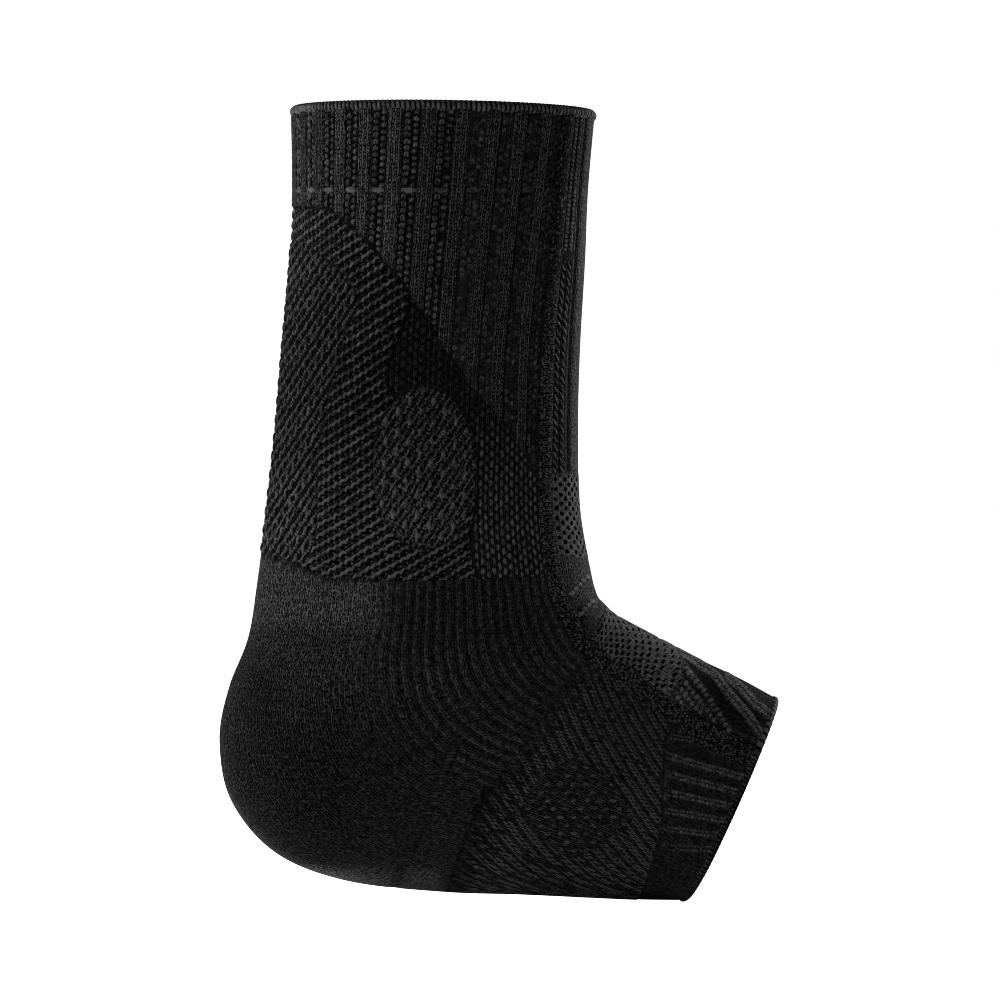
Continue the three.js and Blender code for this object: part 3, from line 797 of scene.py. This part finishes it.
def legRibs(spots, tall=1.0):
    # ribs, closed below the cuff by a row of loops
    off = 0.5 - np.abs(nearest(spots.ribPlace, 1.0))
    loops = bead(off, spots.z - weltSet["z"], weltSet["halfWide"], weltSet["halfTall"])
    loops = loops * ease(*weltSet["front"], spots.fold)
    # painted light: the pads lighter towards the back, where the key light falls
    padTone = change(weltSet["tone"], ease(*weltSet["paintedLightFrom"], spots.ribPlace))
    pads = pattern(spots, height=0.2, tone=padTone, fine=0.3)
    parts = blend(ribbed(spots, tall), pads, ease(*weltSet["edge"], loops))
    parts = blend(parts, frontRibs(spots), 1 - ease(*frontRibSet["end"], spots.fold))
    return blend(parts, ladder(spots), 1 - ease(*seamSet["edge"], np.abs(spots.fold - seamRib)))


cuff = wallOf("ribbed_cuff_knit", (0, ribCount), (cuffSet["start"], cuffSet["end"]), cuffSet["wall"], legRibs,
              cuffSet["size"], closed=True)
finish(cuff, blackKnit, "ribbed_cuff")

# leg: ribs that end on a slant, then the massage knit; the zones are lines in the side view, in millimetres
legSet = dict(
    ribs=(seamRib + seamSet["half"], ribCount - seamRib - seamSet["half"]), start=1.0, end=6.0, wall=1.8,
    size=(396, 240), ribTall=1.1, soft=(-0.6, 0.6), ribSoft=(-0.5, 0.8),
    ribEnds=((-60, 176.4), (-26, 175.5), (-16.6, 167.3), (-8.8, 158.2), (-2.9, 150.2), (5.2, 136.9),
             (13.3, 126), (21.3, 117.4), (28.6, 104.9), (40, 95)),
    tendonEdge=((83.6, -32), (91.4, -29.6), (109.6, -29.3), (128.6, -26.3), (142.4, -22.4), (151.5, -18.5),
                (159, -22.4), (167.3, -34)),
    tendon=dict(low=(83, 84), high=(166, 167.5), columns=2.5, rows=4.8, tone=0.5),
    tendonDim=dict(z=(128, 112), x=(-34, -40), darker=0.25),
    lens=dict(x=-1.3, z=108.3, halfWide=13.5, halfTall=21.3, edge=(0.97, 1.03), columns=3.1, rows=5.3),
    mossEdge=((78, 13), (88, 10.4), (101.8, 12.5), (110, 0), (131, -11.7), (137, -9.9), (149, -5.5)),
    moss=dict(columns=1.6, rows=2.5, z=(125, 112), lift=(0.18, 0.68)),
    rowRise=((2, 61), (4, 50.5), (6, 40), (8, 29.8), (10, 20), (12, 12.5), (13.5, 9), (15.5, 7)),
    lowEdge=((-44, 86.5), (-30.7, 81.5), (-27.3, 80), (-7.8, 78.7), (10.4, 78.1), (29.9, 76.8)),
    rows=dict(angle=30, gap=2.4, pitch=2.0, lift=1.0), tooth=dict(pitch=2.6, tall=1.3),
    midBand=dict(z=138, half=32, darker=0.42, below=(112, 92), lighter=0.22),
)
# heel pocket: fine knit whose wales bend round the ankle; places in the side view in millimetres, and for the
# underside also the way that the knit faces
heelSet = dict(
    end=13.0, wall=1.8, size=(390, 240), tone=0.27, stray=0.38,
    band=dict(low=(64, 70), front=(-20, -6), back=(-44, -30), backShare=(0.7, 1.0), lighter=0.95),
    quiet=dict(z=(56, 66), x=(-20, -4), darker=(0.15, 0.35)),
    arcs=dict(perRib=3, ribs=(7, 10), shade=0.55, height=0.04), seamSide=dict(ribs=(4.5, 2.3), lighter=0.6),
    mitre=dict(line=((0, 36), (-36.4, 16.5)), half=0.6, darker=0.4), rim=dict(x=(-44, -53), lighter=0.1),
    # painted rim light at the back of the heel, and painted light along its lower edge and underneath
    below=dict(z=(6, 1), x=(1, 4), back=(-14, -28), lighter=(1.3, 4.1)),
    under=dict(side=(0.5, 0.2), down=(-0.1, -0.5), x=(-10, -24), lighter=1.2),
    hollow=dict(x=-44, z=50, halfWide=7, halfTall=9, edge=(0.1, 1.5), darker=0.45, calmer=0.1),
    patch=dict(line=((14.8, 24), (11.7, 8.7), (9.6, -2.5)), half=((-3, 5.8), (24, 1.5)), edge=(0.8, 1.2),
               darker=0.6),
    shaded=dict(z=(34, 54), x=(-24, 14), darker=0.42), calm=dict(x=(-30, -14), share=0.35),
    calmTop=dict(z=(50, 60), x=(-20, -8), calmer=0.05),
    stripe=dict(line=((6.5, 36), (-1.3, 16.5), (-7.8, 3.5), (-9.6, -1.2)), edge=(1.1, 1.7), wide=3.6,
                rung=0.87),
)


def heelTone(spots):
    # the heel knit is lightest in a band below the massage knit, at the back of the leg
    band, quiet = heelSet["band"], heelSet["quiet"]
    inBand = ease(*band["low"], spots.z) * (1 - ease(*band["front"], spots.x))
    inBand = inBand * change(band["backShare"], ease(*band["back"], spots.x))
    darker = change(quiet["darker"], ease(*quiet["z"], spots.z)) * ease(*quiet["x"], spots.x)
    return heelSet["tone"] * (1 + band["lighter"] * inBand) * (1 - darker)


def legRelief(spots):
    # slanted rows, moss stitch in front, drops on the ankle and the tendon, ribs above, plain knit below
    x, z = spots.x, spots.z
    moss, lens, tendon, dim, midBand, tooth = (
        legSet[key] for key in ("moss", "lens", "tendon", "tendonDim", "midBand", "tooth"))
    parts = slantRows(spots, lineThrough(legSet["rowRise"], spots.ribPlace), legSet["rows"])
    mossKnit = drops(spots, moss["columns"], moss["rows"], height=-0.25, rise=0.3, tone=0.12, fine=0.8,
                     size=0.85, lift=change(moss["lift"], ease(*moss["z"], z)))
    parts = blend(parts, mossKnit, ease(*legSet["soft"], x - lineThrough(legSet["mossEdge"], z)))
    lensKnit = drops(spots, lens["columns"], lens["rows"], rise=0.4, tone=0.55, fine=1, ground=1, stray=0.4,
                     lift=0.6, size=0.52)
    fromLens = np.hypot((x - lens["x"]) / lens["halfWide"], (z - lens["z"]) / lens["halfTall"])
    parts = blend(parts, lensKnit, 1 - ease(*lens["edge"], fromLens))
    tendonTone = tendon["tone"] * (1 - dim["darker"] * ease(*dim["z"], z) * ease(*dim["x"], x))
    tendonKnit = drops(spots, tendon["columns"], tendon["rows"], rise=0.45, tone=tendonTone, fine=1, ground=1,
                       stray=0.25, lift=0.45, size=0.62)
    inTendon = ease(*legSet["soft"], lineThrough(legSet["tendonEdge"], z) - x)
    inTendon = inTendon * ease(*tendon["low"], z) * (1 - ease(*tendon["high"], z))
    parts = blend(parts, tendonKnit, inTendon)
    # darker across the middle of the leg, lighter below it
    midDarker = midBand["darker"] * np.exp(-((z - midBand["z"]) / midBand["half"]) ** 2)
    parts[[partRow["tone"], partRow["lift"]]] *= 1 - midDarker + midBand["lighter"] * ease(*midBand["below"], z)
    ribs = legRibs(spots, legSet["ribTall"])
    parts = blend(parts, ribs, ease(*legSet["ribSoft"], z - lineThrough(legSet["ribEnds"], x)))
    plain = pattern(spots, tone=heelTone(spots), fine=1, stray=heelSet["stray"])
    teeth = tooth["tall"] * 2 / tooth["pitch"] * np.abs(nearest(x, tooth["pitch"]))
    return blend(plain, parts, ease(*legSet["soft"], z + teeth - lineThrough(legSet["lowEdge"], x)))


leg = wallOf("leg_massage_knit", legSet["ribs"], (legSet["start"], legSet["end"]), legSet["wall"], legRelief,
             legSet["size"])
finish(leg, reliefKnit, "leg_sleeve")

# front panel: ribs, mesh and a plain bend down the shin, then a mesh patch that ends in beaded rows
frontSet = dict(
    ribs=(-seamRib + seamSet["half"], seamRib - seamSet["half"]), turn=6.6, wall=1.8, slant=-60,
    shinSize=(96, 240), instepSize=(132, 102),
    shinMesh=dict(high=106.5, highSoft=(-0.8, 0.8), low=84.9, lowSoft=(-0.5, 0.5), ribPitch=5.2, columns=1.2,
                  rows=2.5),
    dashRows=(((40.9, 79.7), (36.6, 75.3)), ((42.1, 73.4), (38.5, 69))), dash=dict(half=0.85, pitch=1.45),
    crease=dict(line=((39, 71.4), (39.8, 66.7), (40.6, 63.6)), half=0.6, deep=0.5, darker=0.2),
    flecks=dict(start=(42.4, 43), slope=0.5, z=66, leftOut=0.45), toeFrom=(61, 63),
    patch=((45.2, 69.8), (47, 77), (66, 66), (64.6, 59.8), (66, 57), (65.5, 52), (62, 49), (58.5, 50.8),
           (52, 56.6), (46, 59.4), (43.7, 63.3)),
    mesh=dict(crowd=1.5, tone=1.1, widen=(0, 3), size=(0.5, 0.76), column=(0.41, 3.15), row=(0.443, 0.727)),
    beadRows=(((64.6, 58.4), (71.4, 49.6), (77.8, 39.9)), ((63.8, 55.6), (68.7, 49.3), (74.2, 42.2)),
              ((63.6, 52.6), (66.2, 49.3), (70.2, 44.5)), ((63.2, 51), (65.4, 47.2))),
    bead=dict(half=1.0, pitch=1.5),
)
# toe end: black, with beaded rows on the sides and two slanted rows over the top
toeSet = dict(
    wall=1.8, size=(540, 60), gap=1.7, topFacing=(0.6, 0.85), tone=(0.16, 0.06),
    flecks=dict(rib=2.7, edge=(0.35, 0.6), leftOut=0.5),
    rows=6, rowHalf=1.1, beadPitch=1.0, firstStart=(61, 33.4), startStep=(0, -4.8), firstEnd=(82.9, 27.2),
    endStep=(-1.8, -3.65), dimmer=0.11, fadeStart=(60, 65), fadeLift=(0.4, 1.0),
    shortRow=((61.4, 38.4), (68, 37.3)), shortHalf=1.0, topHalf=1.35, topPitch=1.1,
    topRows=(((62, 62), (67.6, 58.9), (74.1, 54.2), (78, 49), (82.2, 44.3), (86.3, 38.4)),
             ((77.2, 53.8), (81, 50.8), (84.2, 47), (88.5, 43.8))),
)
# foot: slanted chains of small loops, which start along a line in the side view
footSet = dict(
    end=16.0, wall=1.8, size=(402, 132), ribPitch=7.0, startSoft=(-1.2, 1.2), toeSoft=(-1, 1),
    rows=dict(angle=64, gap=2.64, closer=0.12, tilt=20, pitch=0.72, valley=(-0.9, 0.0), height=0.3),
    light=dict(lift=3.0, toeMore=0.9, toeX=(34, 50), toeZ=(24, 40), soleZ=(-3, 8), sole=(0.55, 1.0),
               start=(0, 20), startShare=(0.08, 1.0)),
    dim=dict(tone=0.15, darker=0.05, start=(12, 5), z=(34, 26)),
    lens=dict(x=37.7, z=19.6, halfWide=13.5, halfTall=12.5, power=1.5, edge=(0.95, 1.05), columns=2.15,
              rows=3.4),
    toeLine=((-4, 56.5), (5, 58), (15, 60.3), (37, 61), (42, 64)),
    startLine=((-2.2, 4.5), (2, 5.5), (12, 9), (18.4, 12), (25.3, 16), (34, 22.5), (52.9, 35.5), (60, 42)),
)


def instepMesh(spots):
    # holes in rows that spread from the middle of the foot to the sides
    mesh = frontSet["mesh"]
    around = spots.fold ** mesh["crowd"]
    u, v = (along * spots.run - across * around for along, across in (mesh["column"], mesh["row"]))
    return openMesh(spots, mesh["tone"], change(mesh["size"], ease(*mesh["widen"], around)), u, v)


def instepRows(spots, parts):
    # beaded rows that carry the mesh on towards the toe, then the mesh itself
    row = frontSet["bead"]
    for line in frontSet["beadRows"]:
        beads = beadedRow(spots, line, row["half"], row["pitch"], lift=1.1, columns=1, size=1.0)
        parts = blend(parts, *beads)
    return blend(parts, instepMesh(spots), inside(spots, frontSet["patch"]))


def toeKnitting(spots):
    # plain black knit, painted darker where it faces up, with light stitches along the seams, and the beaded
    # rows over it
    fleck = toeSet["flecks"]
    # painted shade: the plain knit darker where it faces up
    tone = change(toeSet["tone"], ease(*toeSet["topFacing"], spots.normals[:, 2]))
    plain = pattern(spots, height=-0.15, tone=tone, fine=0.6)
    nearSeam = 1 - ease(*fleck["edge"], np.abs(spots.fold - fleck["rib"]))
    parts = blend(plain, flecks(spots, fleck["leftOut"]), nearSeam)
    fade = change(toeSet["fadeLift"], ease(*toeSet["fadeStart"], spots.x))
    for k in range(toeSet["rows"]):
        start = [a + k * b for a, b in zip(toeSet["firstStart"], toeSet["startStep"])]
        end = [a + k * b for a, b in zip(toeSet["firstEnd"], toeSet["endStep"])]
        lift = (1 - toeSet["dimmer"] * k) * fade
        row = beadedRow(spots, (start, end), toeSet["rowHalf"], toeSet["beadPitch"], lift, size=1.2)
        parts = blend(parts, *row)
    parts = blend(parts, *beadedRow(spots, toeSet["shortRow"], toeSet["shortHalf"], toeSet["beadPitch"]))
    for line in toeSet["topRows"]:
        row = beadedRow(spots, line, toeSet["topHalf"], toeSet["topPitch"], lift=0.8, rise=0.1,
                        tone=0.3, size=1.15)
        parts = blend(parts, *row)
    return instepRows(spots, parts)


def footChains(spots, along):
    # columns of slanted loops, two strokes wide, with painted shade at the sole, dimmer at the start, lighter
    # near the toe
    rows, light, dim = footSet["rows"], footSet["light"], footSet["dim"]
    around = footSet["ribPitch"] * spots.fold
    angle, tilt = math.radians(rows["angle"]), math.radians(rows["tilt"])
    column = (along * math.cos(angle) - around * math.sin(angle)) / rows["gap"]
    u = 2 * column - rows["closer"] * np.cos(2 * np.pi * column)
    v = (spots.x * math.sin(tilt) + spots.z * math.cos(tilt)) / rows["pitch"]
    ridge = ease(*rows["valley"], np.cos(np.pi * (u - 0.5)))
    fromHeel = spots.x - lineThrough(footSet["startLine"], spots.z)
    toToe = ease(*light["toeX"], spots.x) * ease(*light["toeZ"], spots.z)
    lift = (light["lift"] + light["toeMore"] * toToe) * ridge
    # painted shade: the loops darker low on the sole
    lift = lift * change(light["sole"], ease(*light["soleZ"], spots.z))
    lift = lift * change(light["startShare"], ease(*light["start"], fromHeel))
    tone = dim["tone"] - dim["darker"] * ease(*dim["start"], fromHeel) * ease(*dim["z"], spots.z)
    return pattern(spots, height=rows["height"] * (ridge - 1), tone=tone, fine=0.6, lift=lift, size=1.1,
                   sparse=0.1, split=-0.47, u=u, v=v)


def heelKnitting(spots):
    # fine knit with arcs round the ankle, a dark ladder stripe, a dark patch before the foot and a mitre line
    x, z = spots.x, spots.z
    arcSet, seamSide, mitre, rim, below, under, hollow, patch, shaded, calm, calmTop, stripe = (
        heelSet[key] for key in ("arcs", "seamSide", "mitre", "rim", "below", "under", "hollow", "patch",
                                 "shaded", "calm", "calmTop", "stripe"))
    arcs = (1 - ease(*arcSet["ribs"], spots.fold)) * np.cos(2 * np.pi * arcSet["perRib"] * spots.fold)
    fromMitre, _ = fromLine(spots, mitre["line"])
    tone = heelTone(spots) * (1 + seamSide["lighter"] * ease(*seamSide["ribs"], spots.fold))
    inMitre = np.exp(-(fromMitre / mitre["half"]) ** 2)
    tone = tone * (1 + arcSet["shade"] * arcs) * (1 - mitre["darker"] * inMitre)
    # painted light: lighter at the back, along the lower edge and underneath, where rim light and floor light
    # fall
    tone = tone * (1 + rim["lighter"] * ease(*rim["x"], x))
    lighter = change(below["lighter"], ease(*below["back"], x))
    tone = tone * (1 + lighter * ease(*below["z"], z) * (1 - ease(*below["x"], x)))
    paintedUnderLight = ease(*under["side"], np.abs(spots.normals[:, 1])) * ease(*under["down"], spots.normals[:, 2])
    tone = tone * (1 + under["lighter"] * paintedUnderLight * ease(*under["x"], x))
    # painted shade in the hollow above the heel and below the ankle, and darker in the patch before the foot
    fromHollow = np.hypot((x - hollow["x"]) / hollow["halfWide"], (z - hollow["z"]) / hollow["halfTall"])
    inHollow = 1 - ease(*hollow["edge"], fromHollow)
    fromPatch, _ = fromLine(spots, patch["line"])
    inPatch = 1 - ease(*patch["edge"], np.abs(fromPatch) / lineThrough(patch["half"], z))
    inShade = (1 - ease(*shaded["z"], z)) * (1 - ease(*shaded["x"], x))
    tone = tone * (1 - hollow["darker"] * inHollow) * (1 - patch["darker"] * inPatch)
    tone = tone * (1 - shaded["darker"] * inShade)
    # towards the front the knit lies calmer
    fine = 1 - calm["share"] * ease(*calm["x"], x)
    inCalmTop = ease(*calmTop["z"], z) * ease(*calmTop["x"], x)
    stray = heelSet["stray"] - hollow["calmer"] * inHollow - calmTop["calmer"] * inCalmTop
    parts = pattern(spots, height=arcSet["height"] * arcs, tone=tone, fine=fine, stray=stray)
    away, _ = fromLine(spots, stripe["line"])
    rungs = pattern(spots, height=-0.1, tone=0.04, fine=0.2, lift=0.2, u=away / stripe["wide"],
                    v=z / stripe["rung"])
    return blend(parts, rungs, 1 - ease(*stripe["edge"], np.abs(away)))


def footKnitting(spots, along):
    # chains with a patch of single drops on the side of the foot, then the dark toe end
    lens = footSet["lens"]
    across = np.abs(spots.x - lens["x"]) / lens["halfWide"]
    up = np.abs(spots.z - lens["z"]) / lens["halfTall"]
    fromLens = across ** lens["power"] + up ** lens["power"]
    lensKnit = pattern(spots, rise=0.4, tone=0.26, fine=1, lift=0.45, size=0.56, u=spots.z / lens["columns"],
                       v=spots.x / lens["rows"])
    parts = blend(footChains(spots, along), lensKnit, 1 - ease(*lens["edge"], fromLens))
    fromToeLine = spots.x - lineThrough(footSet["toeLine"], spots.z)
    return blend(parts, toeKnitting(spots), ease(*footSet["toeSoft"], fromToeLine))


def heelAndFoot(spots, along):
    # the heel's knit and the foot's, on either side of the line where the chains start
    inFoot = ease(*footSet["startSoft"], spots.x - lineThrough(footSet["startLine"], spots.z))
    return blend(heelKnitting(spots), footKnitting(spots, along), inFoot)


def heelRelief(spots):
    return heelAndFoot(spots, spots.fromEnd)


def footRelief(spots):
    return heelAndFoot(spots, spots.fromStart)


heel = wallOf("heel_pocket_knit", legSet["ribs"], (legSet["end"], heelSet["end"]), heelSet["wall"],
              heelRelief, heelSet["size"])
finish(heel, blackKnit, "heel_cup")
foot = wallOf("foot_relief_knit", legSet["ribs"], (heelSet["end"], footSet["end"]), footSet["wall"],
              footRelief, footSet["size"])
finish(foot, reliefKnit, "foot_sleeve")


def bend(spots):
    # plain knit at the bend of the ankle, with two short rows of dashes and a crease, sunk in and with
    # painted shade
    dash, crease = frontSet["dash"], frontSet["crease"]
    parts = pattern(spots, tone=0.27, fine=1, stray=0.3)
    for line in frontSet["dashRows"]:
        parts = blend(parts, *beadedRow(spots, line, dash["half"], dash["pitch"], lift=1.1, columns=1))
    away, _ = fromLine(spots, crease["line"])
    inCrease = np.exp(-(away / crease["half"]) ** 2)
    parts[partRow["height"]] -= crease["deep"] * inCrease
    # painted shade along the crease
    parts[partRow["tone"]] -= crease["darker"] * inCrease
    return parts


def shinRelief(spots):
    # from the bend up: plain knit, mesh, ribs
    mesh = frontSet["shinMesh"]
    u, v = spots.fold * mesh["ribPitch"] / mesh["columns"], spots.run / mesh["rows"]
    meshKnit = openMesh(spots, tone=0.42, size=0.9, u=u, v=v, fine=0.3, split=-0.9)
    parts = blend(bend(spots), meshKnit, ease(*mesh["lowSoft"], spots.z - mesh["low"]))
    return blend(parts, legRibs(spots, legSet["ribTall"]), ease(*mesh["highSoft"], spots.z - mesh["high"]))


def instepRelief(spots):
    # from the bend forward: plain knit, light stitches with the mesh and its rows, toe end
    fleck = frontSet["flecks"]
    inFlecks = ease(*fleck["start"], spots.x + fleck["slope"] * (fleck["z"] - spots.z))
    parts = instepRows(spots, blend(bend(spots), flecks(spots, fleck["leftOut"]), inFlecks))
    return blend(parts, toeKnitting(spots), ease(*frontSet["toeFrom"], spots.x))


shin = wallOf("shin_rib_knit", frontSet["ribs"], (legSet["start"], frontSet["turn"]), frontSet["wall"],
              shinRelief, frontSet["shinSize"], slant=frontSet["slant"])
instep = wallOf("instep_mesh_knit", frontSet["ribs"], (frontSet["turn"], footSet["end"]), frontSet["wall"],
                instepRelief, frontSet["instepSize"], slant=frontSet["slant"])
finish(shin, frontKnit, "shin_panel")
finish(instep, frontKnit, "instep_panel")


def seamRelief(spots):
    # linked ladder down the leg, scattered light stitches over the foot
    overFoot = ease(*seamSet["fleckFrom"], spots.x) * (1 - ease(*seamSet["fleckBelow"], spots.z))
    return blend(ladder(spots), flecks(spots, seamSet["leftOut"]), overFoot)


for side, middle in (("right", seamRib), ("left", -seamRib)):
    seam = wallOf("seam_chain_" + side, (middle - seamSet["half"], middle + seamSet["half"]),
                  (legSet["start"], footSet["end"]), seamSet["wall"], seamRelief, seamSet["size"], slant=0)
    finish(seam, edgeYarn, "seam_" + side)


def fromToe(distance):
    # the line at a constant distance in millimetres from the toe opening
    def line(rib):
        end = np.full(len(rib), float(lastStation))
        step = 0.5
        gap = Spots(rib, end).points - Spots(rib, end - step).points
        return lastStation - step * distance / np.linalg.norm(gap, axis=1)
    return line


toe = wallOf("toe_rib_knit", (0, ribCount), (footSet["end"], fromToe(toeSet["gap"])), toeSet["wall"],
             toeKnitting, toeSet["size"], closed=True)
finish(toe, blackKnit, "toe_band")

# bound edges: a rolled core with a row of hanging loops outside and slanted strokes over the top
topEdgeSet = dict(line=0.075, size=(1800, 24), halfHeight=1.35, halfThick=1.3, inset=1.05, loopsPerRib=6,
                  loopHeight=0.3, away=1.0, tone=0.85, below=1)
toeEdgeSet = dict(line=fromToe(1.1), size=(900, 20), halfHeight=0.9, halfThick=0.9, inset=0.8, loopsPerRib=5,
                  loopHeight=0.2, away=-1.0, tone=0.9, below=0.3)
# loops of both edges: across in loops, away from the opening in radians round the core
loopSet = dict(
    legs=dict(slope=0.15, apart=0.1, away=0.1, uneven=0.3, halfWide=0.24, halfTall=1.1),
    foot=dict(away=0.7, uneven=0.25, halfWide=0.36, halfTall=0.4),
    stroke=dict(slope=0.4, away=-1.0, halfWide=0.3, halfTall=0.6, light=0.5), light=(0.6, 1.15),
    solid=dict(x=(-29, -31.5), away=-0.6, light=0.75), core=0.06, fade=(26, 42), step=0.02,
)


def boundEdge(name, edge):
    piece, u, v = layGrid(name, *edge["size"])
    legSide, loopFoot, stroke, solid = (loopSet[key] for key in ("legs", "foot", "stroke", "solid"))
    rib = ribCount * u
    turn = 2 * np.pi * v  # 0 faces out of the sleeve, a quarter turn faces away from the opening
    turn = np.where(turn > np.pi, turn - 2 * np.pi, turn)
    station = lineAt(edge["line"], rib)
    spots = Spots(rib, station)
    after, before = (Spots(rib, np.clip(station + step, 0, lastStation)).points
                     for step in (loopSet["step"], -loopSet["step"]))
    down = (after - before) / np.linalg.norm(after - before, axis=1, keepdims=True)
    loops = rib * edge["loopsPerRib"]
    off = nearest(loops, 1.0)
    chance = scatter(np.round(loops) % (ribCount * edge["loopsPerRib"]))
    away = turn * edge["away"]
    legs = bead(np.abs(off + legSide["slope"] * (away - legSide["away"])) - legSide["apart"],
                away - legSide["away"] - legSide["uneven"] * chance, legSide["halfWide"], legSide["halfTall"])
    feet = bead(off, away - loopFoot["away"] - loopFoot["uneven"] * chance, loopFoot["halfWide"],
                loopFoot["halfTall"])
    strokes = bead(nearest(loops + stroke["slope"] * away, 1.0), away - stroke["away"], stroke["halfWide"],
                   stroke["halfTall"])
    yarn = np.maximum(np.maximum(legs, feet) * change(loopSet["light"], chance), stroke["light"] * strokes)
    yarn = np.maximum(yarn, solid["light"] * ease(*solid["x"], spots.x) * (away > solid["away"]))
    lift = edge["loopHeight"] * yarn
    outward = (edge["halfThick"] + lift) * np.cos(turn) - edge["inset"]
    downward = (edge["halfHeight"] + lift) * np.sin(turn)
    points = spots.points + spots.normals * outward[:, None] + down * downward[:, None]
    tone = edge["tone"] * (loopSet["core"] + yarn) * np.interp(spots.z, loopSet["fade"], (edge["below"], 1))
    dress(piece, points, spots, pattern(spots, tone=tone), border=np.zeros(len(u)), slant=0)
    bpy.ops.object.mode_set(mode="EDIT")
    bpy.ops.mesh.select_all(action="SELECT")
    bpy.ops.mesh.remove_doubles(threshold=wallSet["weld"])
    bpy.ops.object.mode_set(mode="OBJECT")
    bpy.ops.object.shade_smooth()
    return piece


finish(boundEdge("top_chain_edge", topEdgeSet), edgeYarn, "top_binding")
finish(boundEdge("toe_chain_edge", toeEdgeSet), edgeYarn, "toe_binding")
